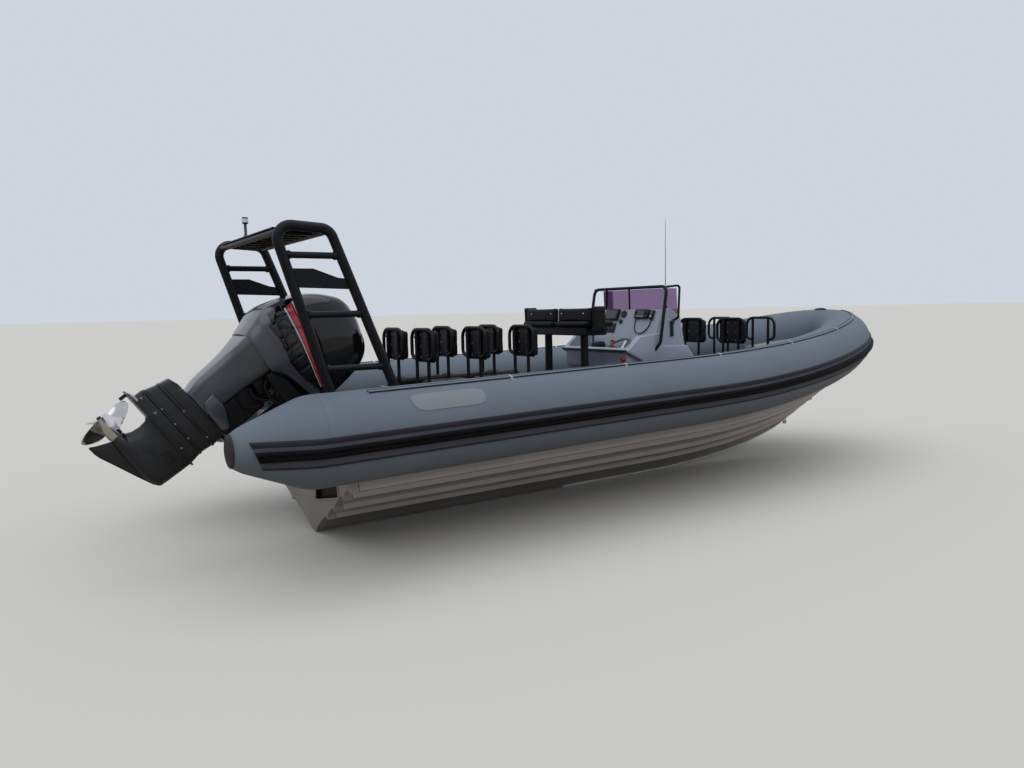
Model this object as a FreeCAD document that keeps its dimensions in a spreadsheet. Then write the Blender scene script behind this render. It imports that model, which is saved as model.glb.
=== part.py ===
import FreeCAD, Part
import math
import os
import Sketcher
from FreeCAD import Placement, Rotation, Vector

# Rigid inflatable boat with jockey seats, a centre console, a stern arch and one tilted outboard.
# Frame: X forward from the transom's foot, Y to port, Z up from the design waterline. Millimetres.

doc = FreeCAD.newDocument("inflatable_boat")

# Driving dimensions
# columns: name in the sheet, value in mm or degrees, what it measures
SIZES = [
    ("draft", 450, "keel below the design waterline"),
    ("tubeRadius", 270, "radius of the inflated tube"),
    ("tubeSpread", 1030, "tube axis from the centreline"),
    ("tubeHeight", 810, "tube axis above the keel, at the stern"),
    ("tubeJunction", 380, "start of the stern cone, aft of the transom's foot"),
    ("coneLength", 410, "stern cone"),
    ("coneEndRadius", 105, "small end of the stern cone"),
    ("capLength", 22, "rubber cap on the cone's small end"),
    ("straightEnd", 2900, "end of the tube's straight run"),
    ("bowLength", 3000, "tube axis from there to the bow"),
    ("bowRadius", 252, "tube radius at the bow"),
    ("sheerStart", 2600, "where the sheer begins to rise"),
    ("sheerRise", 280, "rise of the tube axis over the bow"),
    ("sheerSlope", 126, "steady rise of the tube axis over the whole length"),
    ("railBand", 80, "half width of the rubbing band"),
    ("railDrop", 25, "middle of the rubbing band below the tube's outward line"),
    ("railBandThick", 7, "rubbing band"),
    ("railCore", 26, "half width of the raised rubbing strip"),
    ("railCoreThick", 24, "raised rubbing strip"),
    ("seamGap", 0.4, "glue line between tube and what is bonded to it"),
    ("transomRake", 0.2, "aft lean of the transom for each unit of height"),
    ("transomThick", 60, "transom board"),
    ("transomTop", 755, "motor cut-out above the keel"),
    ("transomCutout", 360, "half width of the motor cut-out"),
    ("deckHeight", 560, "deck above the keel"),
    ("deckThick", 12, "deck plate"),
    ("deckMargin", 6, "clear strip round the deck plate"),
    ("coamingThick", 12, "hull flange inboard of the tube"),
    ("tiltHeight", 800, "tilt tube above the keel"),
    ("tiltAft", 140, "tilt tube aft of the transom's foot"),
    ("tiltTubeRadius", 16, "tilt tube"),
    ("restTilt", 54, "tilt of the outboard as the boat stands"),
    ("bearingGap", 0.05, "radial clearance of shafts in their bores"),
    ("bracketSpread", 165, "clamp bracket from the centreline"),
    ("bracketThick", 24, "clamp bracket plate"),
    ("steerAft", 130, "steering shaft aft of the tilt tube"),
    ("steerShaft", 18, "steering shaft radius"),
    ("shaftDrop", 865, "propeller shaft below the tilt tube"),
    ("plateDrop", 650, "anti-ventilation plate below the tilt tube"),
    ("plateThick", 12, "anti-ventilation plate"),
    ("gearRadius", 56, "gearcase radius"),
    ("propRadius", 188, "propeller"),
    ("propHub", 46, "propeller hub radius"),
    ("propBore", 14, "propeller shaft radius"),
    ("archSpread", 712, "arch hoop from the centreline"),
    ("archTube", 31, "arch tube radius"),
    ("archHeight", 2066, "arch tube axis above the keel"),
    ("rungTube", 20, "arch rung radius"),
    ("seatSpread", 250, "seat line from the centreline"),
    ("seatPitch", 435, "distance from one seat row to the next"),
    ("aftRow", 775, "aftmost backrest ahead of the transom"),
    ("foreRow", 4085, "first backrest ahead of the console"),
    ("hoopTube", 13, "backrest hoop tube radius"),
    ("hoopWidth", 334, "backrest hoop across its tube axes"),
    ("hoopPosts", 184, "between the two posts of a hoop"),
    ("podWidth", 300, "seat pod"),
    ("podTop", 960, "top of the seat pod above the keel"),
    ("padThick", 58, "backrest pad"),
    ("padWidth", 236, "backrest pad"),
    ("padHeight", 220, "backrest pad"),
    ("padRise", 322, "middle of the backrest pad above its pod"),
    ("cushionThick", 70, "seat cushion"),
    ("consoleHalf", 428, "half width of the console"),
    ("consoleAft", 2578, "aft lip of the console's tub ahead of the transom"),
    ("tubHalf", 450, "half width of the console's tub"),
    ("tubFloor", 1005, "floor of the recess round the steering wheel, above the keel"),
    ("consoleFoot", 1100, "foot of the dash above the keel"),
    ("consoleTop", 1515, "top edge of the dash above the keel"),
    ("screenTop", 1708, "windscreen's top rail above the keel"),
    ("screenTube", 14, "windscreen frame tube radius"),
    ("wheelRadius", 160, "steering wheel to the middle of its rim"),
    ("wheelRim", 12, "steering wheel rim section radius"),
    ("wheelShaft", 11, "steering wheel shaft radius"),
    ("wheelLean", 50, "steering wheel's axis above the horizontal, in degrees"),
    ("antennaHeight", 740, "whip antenna"),
    ("leadRadius", 5, "microphone lead"),
    ("eyeBore", 12, "radius of the bore in the towing eyes"),
]

sheet = doc.addObject("Spreadsheet::Sheet", "Dims")
for row, (name, value, meaning) in enumerate(SIZES, start=1):
    sheet.set("A%d" % row, name)
    sheet.set("B%d" % row, str(value))
    sheet.set("C%d" % row, meaning)
    sheet.setAlias("B%d" % row, name)
doc.recompute()


def dim(name):
    """Value of one driving dimension."""
    return float(sheet.get(name))


def up(height):
    """Z of a height above the keel."""
    return height - dim("draft")


X_AXIS = Vector(1, 0, 0)
Y_AXIS = Vector(0, 1, 0)
Z_AXIS = Vector(0, 0, 1)
QUARTER = math.pi / 2
SIDES = (-1, 1)
pieces = []


# Ways of making a sub-part


def feature(label, shape, placement=None):
    """A piece whose shape is worked out here."""
    piece = doc.addObject("Part::Feature", label)
    piece.Label = label
    piece.Shape = shape
    if placement is not None:
        piece.Placement = placement
    pieces.append(piece)
    return piece


def body(label, placement=None):
    """An empty body for sketched features."""
    made = doc.addObject("PartDesign::Body", label)
    made.Label = label
    if placement is not None:
        made.Placement = placement
    pieces.append(made)
    return made


def plane_of(owner, role):
    """One of a body's own origin planes."""
    for item in owner.Origin.OriginFeatures:
        if item.Role == role:
            return item
    return None


def sketch_of(owner, name, role, outlines, circles=()):
    """A sketch of closed outlines, each a list of corners, and of circles as (x, y, radius)."""
    sketch = owner.newObject("Sketcher::SketchObject", name)
    sketch.AttachmentSupport = [(plane_of(owner, role), "")]
    sketch.MapMode = "FlatFace"
    for corners in outlines:
        first = sketch.GeometryCount
        for start, end in zip(corners, corners[1:] + corners[:1]):
            sketch.addGeometry(Part.LineSegment(Vector(start[0], start[1], 0), Vector(end[0], end[1], 0)), False)
        count = len(corners)
        for index in range(count):
            after = first + (index + 1) % count
            sketch.addConstraint(Sketcher.Constraint("Coincident", first + index, 2, after, 1))
    for x, y, radius in circles:
        sketch.addGeometry(Part.Circle(Vector(x, y, 0), Z_AXIS, radius), False)
    return sketch


def pad_of(owner, sketch, length, two_sided=True):
    """A pad whose length is an expression of the sheet, or a number."""
    pad = owner.newObject("PartDesign::Pad", sketch.Name + "Pad")
    pad.Profile = sketch
    pad.Midplane = two_sided
    if isinstance(length, str):
        pad.setExpression("Length", length)
    else:
        pad.Length = length
    sketch.Visibility = False
    return pad


def prism(label, role, corners, length, placement=None, circles=(), rounding=0.0):
    """A padded outline with its holes, and all its edges rounded where asked."""
    made = body(label, placement)
    sketch = sketch_of(made, label + "Outline", role, [corners], circles)
    pad_of(made, sketch, length)
    if rounding:
        doc.recompute()
        fillet = made.newObject("PartDesign::Fillet", label + "Rounding")
        fillet.Base = (made.Tip, ["Edge%d" % (i + 1) for i in range(len(made.Tip.Shape.Edges))])
        fillet.Radius = rounding
        made.Tip = fillet
    return made


def block(x0, x1, y0, y1, z0, z1):
    """A box between two corners."""
    return Part.makeBox(x1 - x0, y1 - y0, z1 - z0, Vector(x0, y0, z0))


def eased_block(x0, x1, y0, y1, z0, z1, ease):
    """A box with all its edges cut back."""
    solid = block(x0, x1, y0, y1, z0, z1)
    return solid.makeChamfer(ease, solid.Edges)


def tube_between(start, end, radius):
    """A round bar between two points."""
    axis = end - start
    return Part.makeCylinder(radius, axis.Length, start, axis)


def corner_of(before, corner, after, bend):
    """Where a tube's bend begins, its middle, where it ends, the centre it turns about and its half turn."""
    to_corner = (corner - before).normalize()
    from_corner = (after - corner).normalize()
    half_turn = to_corner.getAngle(from_corner) / 2
    setback = bend * math.tan(half_turn)
    inward = (from_corner - to_corner).normalize()
    middle = corner + inward * (bend / math.cos(half_turn) - bend)
    centre = corner + inward * (bend / math.cos(half_turn))
    return corner - to_corner * setback, middle, corner + from_corner * setback, centre, half_turn


def bent_tube(points, radius, bend):
    """A round tube along straight runs, each corner turned by an arc."""
    parts = []
    last = points[0]
    for before, corner, after in zip(points, points[1:], points[2:]):
        entry, middle, leave, centre, half_turn = corner_of(before, corner, after, bend)
        disc = Part.Face(Part.Wire([Part.makeCircle(radius, entry, corner - before)]))
        parts.append(tube_between(last, entry, radius))
        parts.append(disc.revolve(centre, (corner - before).cross(after - corner), math.degrees(2 * half_turn)))
        last = leave
    parts.append(tube_between(last, points[-1], radius))
    return fuse_all(parts)


def fuse_all(shapes):
    """One solid of several that meet."""
    whole = shapes[0].multiFuse(shapes[1:]) if len(shapes) > 1 else shapes[0]
    return whole.removeSplitter()


def mirrored(shape):
    """The same shape on the other side of the centreline."""
    return shape.mirror(Vector(0, 0, 0), Y_AXIS)


# Tube path: stations from the stern round the bow, as seen from above


def sheer(x):
    """Height of the tube axis above the keel at a station."""
    whole = dim("straightEnd") + dim("bowLength")
    along = (x + dim("tubeJunction")) / (whole + dim("tubeJunction"))
    rising = max(0.0, x - dim("sheerStart")) / (whole - dim("sheerStart"))
    return dim("tubeHeight") + dim("sheerSlope") * along + dim("sheerRise") * rising ** 2


def tube_breadth(x):
    """Tube axis from the centreline at a station."""
    ahead = max(0.0, x - dim("straightEnd")) / dim("bowLength")
    return dim("tubeSpread") * math.sqrt(max(0.0, 1 - ahead ** 2))


STRAIGHT_SHARES = (0.0, 0.33, 0.66, 1.0)
BOW_STEP = 10
BOW_ANGLES = range(BOW_STEP, 91, BOW_STEP)


def tube_stations():
    """Starboard stations: centre, outward direction and radius, from the cone's root to the bow."""
    found = []
    start = -dim("tubeJunction")
    for share in STRAIGHT_SHARES:
        x = start + share * (dim("straightEnd") - start)
        found.append((Vector(x, -dim("tubeSpread"), up(sheer(x))), Vector(0, -1, 0), dim("tubeRadius")))
    for degrees in BOW_ANGLES:
        turn = math.radians(degrees)
        x = dim("straightEnd") + dim("bowLength") * math.sin(turn)
        y = -dim("tubeSpread") * math.cos(turn)
        heading = math.atan2(dim("tubeSpread") * math.sin(turn), dim("bowLength") * math.cos(turn))
        outward = Vector(math.sin(heading), -math.cos(heading), 0)
        radius = dim("tubeRadius") + (dim("bowRadius") - dim("tubeRadius")) * degrees / 90
        found.append((Vector(x, y, up(sheer(x))), outward, radius))
    return found


def whole_path(half):
    """Stations of both sides, from the starboard stern to the port stern."""
    port = []
    for centre, outward, radius in reversed(half[:-1]):
        port.append((Vector(centre.x, -centre.y, centre.z), Vector(outward.x, -outward.y, 0), radius))
    return half + port


def on_tube(station, angle, proud=0.0):
    """Point of the tube's skin at an angle above the outward direction."""
    centre, outward, radius = station
    reach = radius + proud
    return centre + outward * (reach * math.cos(angle)) + Z_AXIS * (reach * math.sin(angle))


def ring_at(station, proud=0.0):
    """The tube's section as two half circles."""
    low, out, top, inner = (on_tube(station, turns * QUARTER, proud) for turns in (-1, 0, 1, 2))
    return Part.Wire([Part.Arc(low, out, top).toShape(), Part.Arc(top, inner, low).toShape()])


STARBOARD = tube_stations()
PATH = whole_path(STARBOARD)
CONE_ROOT = STARBOARD[0]
CONE_TIP = (CONE_ROOT[0] - X_AXIS * dim("coneLength"), CONE_ROOT[1], dim("coneEndRadius"))


def tube_solid(proud=0.0):
    """The horseshoe of the tube without its cones."""
    return Part.makeLoft([ring_at(station, proud) for station in PATH], True, True)


# Inflated tube with its stern cones

cone_loft = Part.makeLoft([ring_at(CONE_TIP), ring_at(CONE_ROOT)], True, True)
feature("tube_collar", fuse_all([tube_solid(), cone_loft, mirrored(cone_loft)]))

CAP_RIM = 6
cap_root = (CONE_TIP[0] - X_AXIS * dim("seamGap"), CONE_TIP[1], CONE_TIP[2] + CAP_RIM)
cap = Part.makeCylinder(cap_root[2], dim("capLength"), cap_root[0] - X_AXIS * dim("capLength"), X_AXIS)
CAP_ROUND = 9
cap = cap.makeFillet(CAP_ROUND, [edge for edge in cap.Edges if edge.CenterOfMass.x < cap_root[0].x - CAP_ROUND])
feature("cone_caps", Part.makeCompound([cap, mirrored(cap)]))


def band_wire(station, middle, half, inner, outer, bevel):
    """Section of a strip glued along the tube, at an arc length above the outward line."""
    reach = station[2]
    low = middle - half
    high = middle + half

    def at(length, proud):
        return on_tube(station, length / reach, proud)

    inner_arc = Part.Arc(at(high, inner), at(middle, inner), at(low, inner))
    low_side = Part.LineSegment(at(low, inner), at(low, outer - bevel))
    low_bevel = Part.LineSegment(at(low, outer - bevel), at(low + bevel, outer))
    outer_arc = Part.Arc(at(low + bevel, outer), at(middle, outer), at(high - bevel, outer))
    high_bevel = Part.LineSegment(at(high - bevel, outer), at(high, outer - bevel))
    high_side = Part.LineSegment(at(high, outer - bevel), at(high, inner))
    ring = [inner_arc, low_side, low_bevel, outer_arc, high_bevel, high_side]
    return Part.Wire([edge.toShape() for edge in ring])


def strip_solid(stations, middles, half, inner, outer, bevel):
    """A strip glued along the tube, whose middle may wander from station to station."""
    wires = [band_wire(station, middle, half, inner, outer, bevel) for station, middle in zip(stations, middles)]
    return Part.makeLoft(wires, True, True)


RAIL_START = 0.17
RAIL_STEPS = 8
cone_stations = []
for step in range(RAIL_STEPS):
    share = RAIL_START + (1 - RAIL_START) * step / RAIL_STEPS
    cone_stations.append((CONE_TIP[0] + X_AXIS * (share * dim("coneLength")), CONE_ROOT[1],
                          dim("coneEndRadius") + share * (dim("tubeRadius") - dim("coneEndRadius"))))
RAIL_PATH = whole_path(cone_stations + STARBOARD)
BAND_BEVEL = 4
CORE_BEVEL = 9
band_top = dim("seamGap") + dim("railBandThick")
rail_middles = [-dim("railDrop")] * len(RAIL_PATH)
feature("rub_rail", strip_solid(RAIL_PATH, rail_middles, dim("railBand"), dim("seamGap"), band_top, BAND_BEVEL))
feature("rub_rail_insert", strip_solid(RAIL_PATH, rail_middles, dim("railCore"), band_top,
                                       band_top + dim("railCoreThick"), CORE_BEVEL))

# Grab-line bead on top of the tube, ending where the tube turns across the bow
# arc length above the outward line at each station, from the cone's root to the bow
BEAD_ARCS = [346, 350, 362, 370, 368, 356, 342, 330, 322, 318, 320, 324]
BEAD_HALF = 16
BEAD_THICK = 9
BEAD_BEVEL = 3
bead = strip_solid(STARBOARD[:-1], BEAD_ARCS, BEAD_HALF, dim("seamGap"), BEAD_THICK, BEAD_BEVEL)
feature("tube_bead", Part.makeCompound([bead, mirrored(bead)]))

# Hull: a deep V of overlapping planks, each ending in a flat spray strake
# columns: half breadth of the aft section, height above the keel
HULL_SECTION = [
    (26, 0), (330, 166), (374, 166), (380, 194),
    (524, 266), (568, 266), (574, 296),
    (760, 386), (804, 386), (810, 418),
    (902, 462), (958, 462), (962, 500),
]
CHINE_BREADTH = 962
CHINE_HEIGHT = 500
# columns: station, height of the keel there
KEEL_LINE = [(3000, 0), (3900, 30), (4600, 120), (5050, 232), (5400, 385), (5640, 560), (5790, 760)]
STEM_HEAD = 5790
CHINE_INSET = 68
CHINE_DROP = 310


def hull_outline(x, keel, breadth, chine, top, rake=0.0):
    """Closed hull section: both bottoms and a straight top."""
    side = []
    for y, height in HULL_SECTION:
        share = height / CHINE_HEIGHT
        side.append((breadth * y / CHINE_BREADTH, keel + (chine - keel) * share))
    side.append((breadth, top))
    corners = [Vector(x - rake * h, y, up(h)) for y, h in side]
    corners += [Vector(x - rake * h, -y, up(h)) for y, h in reversed(side)]
    return Part.makePolygon(corners + corners[:1])


def hull_station(x, keel, rake=0.0):
    """Hull section under the tube at a station."""
    breadth = max(40.0, tube_breadth(x) - CHINE_INSET)
    axis = sheer(x)
    chine = max(axis - CHINE_DROP, keel + 60)
    return hull_outline(x, keel, breadth, chine, axis, rake)


transom_slope = dim("transomRake")
aft_section = hull_station(dim("transomThick"), 0, transom_slope)
hull_sections = [aft_section]
for x, keel in KEEL_LINE:
    hull_sections.append(hull_station(x, keel))
hull_block = Part.makeLoft(hull_sections, True, True)

# Cockpit space: the deck's outline follows the tube's inboard side
COCKPIT_STATIONS = (-260, 2900, 3600, 4200, 4700, 5100)
COCKPIT_TOP = 1600


def cockpit_half(x, margin):
    """Half breadth of the cockpit at a station."""
    ahead = max(0.0, x - dim("straightEnd")) / dim("bowLength")
    inner_length = dim("bowLength") - dim("tubeRadius") - dim("coamingThick")
    inner = dim("tubeSpread") - dim("tubeRadius") - dim("coamingThick")
    share = min(1.0, ahead * dim("bowLength") / inner_length)
    return inner * math.sqrt(1 - share ** 2) - margin


def cockpit_space(low, high, margin, stations):
    """The room inboard of the hull flange between two heights."""
    wires = []
    for x in stations:
        half = cockpit_half(x, margin)
        corners = [Vector(x, -half, up(low)), Vector(x, half, up(low)), Vector(x, half, up(high)), Vector(x, -half, up(high))]
        wires.append(Part.makePolygon(corners + corners[:1]))
    return Part.makeLoft(wires, True, True)


cockpit = cockpit_space(dim("deckHeight"), COCKPIT_TOP, 0.0, COCKPIT_STATIONS)
hull_shape = hull_block.cut(cockpit).cut(tube_solid(dim("seamGap")))
hull_solids = sorted(hull_shape.Solids, key=lambda solid: solid.Volume)
feature("hull", hull_solids[-1])

DECK_STATIONS = (20, 2900, 3600, 4200, 4700, 5060)
deck_low = dim("deckHeight") + dim("seamGap")
feature("deck", cockpit_space(deck_low, deck_low + dim("deckThick"), dim("deckMargin"), DECK_STATIONS))
floor = deck_low + dim("deckThick")

# Transom: a raked board across the hull's aft end, cut down for the motor, with a scupper port each side
transom_outer = hull_station(0, 0, transom_slope)
transom_inner = hull_station(dim("transomThick") - dim("seamGap"), 0, transom_slope)
transom_block = Part.makeLoft([transom_outer, transom_inner], True, True)
SCUPPER_IN = 150
SCUPPER_OUT = 560
SCUPPER_LOW = 330
SCUPPER_HIGH = 430
SCUPPER_DEEP = 40
scupper = block(-400, SCUPPER_DEEP - 0.2 * SCUPPER_LOW, -SCUPPER_OUT, -SCUPPER_IN, up(SCUPPER_LOW), up(SCUPPER_HIGH))
motor_cut = block(-400, 400, -dim("transomCutout"), dim("transomCutout"), up(dim("transomTop")), up(COCKPIT_TOP))
transom_shape = transom_block.cut(tube_solid(dim("seamGap"))).cut(motor_cut)
transom_shape = transom_shape.cut(scupper).cut(mirrored(scupper))
feature("transom", sorted(transom_shape.Solids, key=lambda solid: solid.Volume)[-1])

# Keel guard: a pale strip under the forefoot and stem
GUARD_HALF = 24
GUARD_THICK = 8
guard_wires = []
for x, keel in [(2200, 0)] + KEEL_LINE[:-1]:
    low = keel - GUARD_THICK - dim("seamGap")
    high = keel - dim("seamGap")
    corners = [Vector(x, -GUARD_HALF, up(high)), Vector(x, -GUARD_HALF / 2, up(low)),
               Vector(x, GUARD_HALF / 2, up(low)), Vector(x, GUARD_HALF, up(high))]
    guard_wires.append(Part.makePolygon(corners + corners[:1]))
feature("keel_guard", Part.makeLoft(guard_wires, True, True))


# Towing eyes: a plate with a bore, on a pad
def towing_eye(base, outward, across):
    """A forged eye that stands on a base plate; the bore runs across it."""
    plate_half = 34
    plate_thick = 6
    stand = 40
    eye_outer = dim("eyeBore") + 10
    eye_half = 8
    along = across.cross(outward)
    foot = Part.makeBox(plate_half * 2, plate_half, plate_thick)
    foot.Placement = Placement(Vector(0, 0, 0), Rotation(along, across, outward, "ZXY"))
    foot.translate(base - along * plate_half - across * (plate_half / 2))
    centre = base + outward * stand
    ring = Part.makeCylinder(eye_outer, eye_half * 2, centre - across * eye_half, across)
    neck = Part.makeBox(eye_outer * 2, eye_half * 2, stand)
    neck.Placement = Placement(Vector(0, 0, 0), Rotation(along, across, outward, "ZXY"))
    neck.translate(base - along * eye_outer - across * eye_half)
    solid = fuse_all([foot, neck, ring])
    bore = Part.makeCylinder(dim("eyeBore"), eye_half * 4, centre - across * eye_half * 2, across)
    return solid.cut(bore)


BOW_EYE_X = 5230
keel_before, keel_after = KEEL_LINE[3], KEEL_LINE[4]
eye_share = (BOW_EYE_X - keel_before[0]) / (keel_after[0] - keel_before[0])
bow_eye_height = keel_before[1] + eye_share * (keel_after[1] - keel_before[1])
stem_slope = Vector(keel_after[0] - keel_before[0], 0, keel_after[1] - keel_before[1]).normalize()
stem_outward = Vector(stem_slope.z, 0, -stem_slope.x)
bow_eye_base = Vector(BOW_EYE_X, 0, up(bow_eye_height)) + stem_outward * ((GUARD_THICK + dim("seamGap")) * stem_slope.x + dim("seamGap"))
feature("bow_eye", towing_eye(bow_eye_base, stem_outward, Y_AXIS))
STERN_EYE_Y = 520
STERN_EYE_HEIGHT = 600
transom_normal = Vector(-1, 0, -transom_slope).normalize()
transom_up = Vector(-transom_slope, 0, 1).normalize()
stern_eyes = []
for side in SIDES:
    face = Vector(-transom_slope * STERN_EYE_HEIGHT, side * STERN_EYE_Y, up(STERN_EYE_HEIGHT))
    stern_eyes.append(towing_eye(face + transom_normal * dim("seamGap"), transom_normal, transom_up))
feature("stern_eyes", Part.makeCompound(stern_eyes))

# Fairlead on the bow's top
bow_station = STARBOARD[-1]
fairlead_base = on_tube(bow_station, QUARTER, dim("seamGap")) - X_AXIS * 40
FAIRLEAD_HALF = 70
FAIRLEAD_SINK = Z_AXIS * -14
fairlead = Part.makeCylinder(34, 22, fairlead_base + FAIRLEAD_SINK, Z_AXIS)
fairlead = fuse_all([fairlead, Part.makeCylinder(13, 54, fairlead_base + FAIRLEAD_SINK, Z_AXIS),
                     Part.makeCylinder(11, 2 * FAIRLEAD_HALF, fairlead_base + Vector(0, -FAIRLEAD_HALF, 44), Y_AXIS)])
feature("bow_cleat", sorted(fairlead.cut(tube_solid(dim("seamGap"))).Solids, key=lambda solid: solid.Volume)[-1])

# Stern arch: two ladder-sided hoops, cross tubes, side plates and a roof tray
# columns: station and height above the keel of the hoop's tube axis
FOOT_DEPTH = 40
FOOT_HEIGHT = floor - FOOT_DEPTH
foot_plane = up(floor) + 0.5
under_feet = block(-400, 900, -1100, 1100, up(0), foot_plane)
ARCH_AFT_FOOT = (56, FOOT_HEIGHT)
ARCH_AFT_TOP = (-412, dim("archHeight"))
ARCH_FORE_TOP = (-62, dim("archHeight") - 20)
ARCH_FORE_FOOT = (536, FOOT_HEIGHT)
ARCH_BEND = 84
PAD_HALF = 46
PAD_THICK = 8


def arch_point(corner, side):
    """A point of one hoop's plane."""
    return Vector(corner[0], side * dim("archSpread"), up(corner[1]))


def along_leg(foot, top, height):
    """Station of a leg at a height above the keel."""
    share = (height - foot[1]) / (top[1] - foot[1])
    return foot[0] + share * (top[0] - foot[0])


RUNG_DROPS = (181, 536, 871)
arch_sides = []
for side, side_name in ((-1, "starboard"), (1, "port")):
    corners = [arch_point(c, side) for c in (ARCH_AFT_FOOT, ARCH_AFT_TOP, ARCH_FORE_TOP, ARCH_FORE_FOOT)]
    parts = [bent_tube(corners, dim("archTube"), ARCH_BEND)]
    for drop in RUNG_DROPS:
        height = dim("archHeight") - drop
        aft = Vector(along_leg(ARCH_AFT_FOOT, ARCH_AFT_TOP, height), side * dim("archSpread"), up(height))
        fore = Vector(along_leg(ARCH_FORE_FOOT, ARCH_FORE_TOP, height), side * dim("archSpread"), up(height))
        parts.append(tube_between(aft, fore, dim("rungTube")))
    for foot in (ARCH_AFT_FOOT, ARCH_FORE_FOOT):
        base = arch_point(foot, side)
        inner_y = base.y - side * PAD_HALF
        outer_y = side * cockpit_half(0, dim("deckMargin"))
        low_y, high_y = sorted((inner_y, outer_y))
        parts.append(block(base.x - PAD_HALF, base.x + PAD_HALF, low_y, high_y, foot_plane, foot_plane + PAD_THICK))
    arch_sides.append(fuse_all(parts).cut(under_feet))
    feature("arch_side_" + side_name, arch_sides[-1])

arch_line = [arch_point(corner, 0) for corner in (ARCH_AFT_FOOT, ARCH_AFT_TOP, ARCH_FORE_TOP, ARCH_FORE_FOOT)]
aft_bar = corner_of(arch_line[0], arch_line[1], arch_line[2], ARCH_BEND)[1]
fore_bar = corner_of(arch_line[1], arch_line[2], arch_line[3], ARCH_BEND)[1]
bar_half = dim("archSpread") - dim("archTube") * 0.6
cross = []
for bar in (aft_bar, fore_bar):
    tube = tube_between(bar - Y_AXIS * bar_half, bar + Y_AXIS * bar_half, dim("rungTube"))
    cross.append(tube.cut(arch_sides[0]).cut(arch_sides[1]))
feature("arch_cross_tubes", Part.makeCompound(cross))

# Arch side plate: a stepped plate between the legs below the top rung
# columns: share of the way from the aft leg to the fore leg, drop below the arch's top
PLATE_OUTLINE = [(0.0, 260), (0.0, 374), (1.0, 384), (1.0, 318), (0.86, 314), (0.42, 260)]
PLATE_THICK = 8
plate_corners = []
for share, drop in PLATE_OUTLINE:
    height = dim("archHeight") - drop
    aft = along_leg(ARCH_AFT_FOOT, ARCH_AFT_TOP, height)
    fore = along_leg(ARCH_FORE_FOOT, ARCH_FORE_TOP, height)
    margin = dim("archTube") + 1
    low = aft + margin
    high = fore - margin
    plate_corners.append(Vector(low + share * (high - low), -PLATE_THICK / 2, up(height)))
plates = []
for side in SIDES:
    face = Part.Face(Part.makePolygon(plate_corners + plate_corners[:1]))
    plate = face.extrude(Y_AXIS * PLATE_THICK)
    plate.translate(Y_AXIS * side * dim("archSpread"))
    plates.append(plate.cut(arch_sides[0]).cut(arch_sides[1]))
feature("arch_side_plates", Part.makeCompound(plates))

# Roof tray on the two cross tubes
TRAY_THICK = 6
TRAY_HALF = 628
TRAY_FALL = 14
tray_z = aft_bar.z + dim("rungTube") + 0.5
tray_corners = [Vector(aft_bar.x - 20, -TRAY_HALF, tray_z), Vector(fore_bar.x + 20, -TRAY_HALF, tray_z - TRAY_FALL + 2),
                Vector(fore_bar.x + 20, -TRAY_HALF, tray_z - TRAY_FALL + 2 + TRAY_THICK),
                Vector(aft_bar.x - 20, -TRAY_HALF, tray_z + TRAY_THICK)]
tray = Part.Face(Part.makePolygon(tray_corners + tray_corners[:1])).extrude(Y_AXIS * 2 * TRAY_HALF)
tray = tray.cut(Part.makeCompound(cross))
feature("arch_roof_tray", tray)

# All-round light on a short mast, clear of the tray
LIGHT_Y = 30
light_foot = Vector(aft_bar.x, LIGHT_Y, tray_z + TRAY_THICK - 3)
light = fuse_all([Part.makeCylinder(17, 10, light_foot, Z_AXIS),
                  Part.makeCylinder(9, 90, light_foot, Z_AXIS),
                  Part.makeCylinder(21, 44, light_foot + Z_AXIS * 88, Z_AXIS)])
feature("nav_light", light.cut(tray))

# Seats: pods along the deck, backrest hoops, pads and cushions
AFT_ROWS = [dim("aftRow") + row * dim("seatPitch") for row in range(3)]
pod_half = dim("podWidth") / 2
POD_ROUND = 24
POD_AFT = AFT_ROWS[0] - 70
POD_FORE = AFT_ROWS[2] + 250
BOW_POD_AFT = dim("foreRow") - 330
BOW_POD_FORE = dim("foreRow") + dim("seatPitch") + 60
pods = []
for start, end in ((POD_AFT, POD_FORE), (BOW_POD_AFT, BOW_POD_FORE)):
    for side in SIDES:
        middle = side * dim("seatSpread")
        pods.append(eased_block(start, end, middle - pod_half, middle + pod_half, up(floor) + 0.5, up(dim("podTop")),
                                  POD_ROUND))
feature("seat_pods", Part.makeCompound(pods))

pad_mid = dim("podTop") + dim("padRise")
hoop_rows = AFT_ROWS + [dim("foreRow"), dim("foreRow") + dim("seatPitch")]
HOOP_BEND = 84
HOOP_RISE = 14
HOOP_FALL = 4
hoop_top = up(pad_mid + dim("padHeight") / 2 + HOOP_RISE)
hoop_low = up(pad_mid - dim("padHeight") / 2 + HOOP_FALL)
hoop_foot = up(dim("podTop")) + 0.5
hoop_half = dim("hoopWidth") / 2
hoops = []
for x in hoop_rows:
    for side in SIDES:
        middle = side * dim("seatSpread")
        centre_top = Vector(x, middle, hoop_top)
        ring = [centre_top, Vector(x, middle - hoop_half, hoop_top), Vector(x, middle - hoop_half, hoop_low),
                Vector(x, middle + hoop_half, hoop_low), Vector(x, middle + hoop_half, hoop_top), centre_top]
        parts = [bent_tube(ring, dim("hoopTube"), HOOP_BEND)]
        for post in SIDES:
            post_y = middle + post * dim("hoopPosts") / 2
            parts.append(tube_between(Vector(x, post_y, hoop_foot), Vector(x, post_y, hoop_top), dim("hoopTube")))
        hoops.append(fuse_all(parts))
feature("backrest_hoops", Part.makeCompound(hoops))

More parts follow.
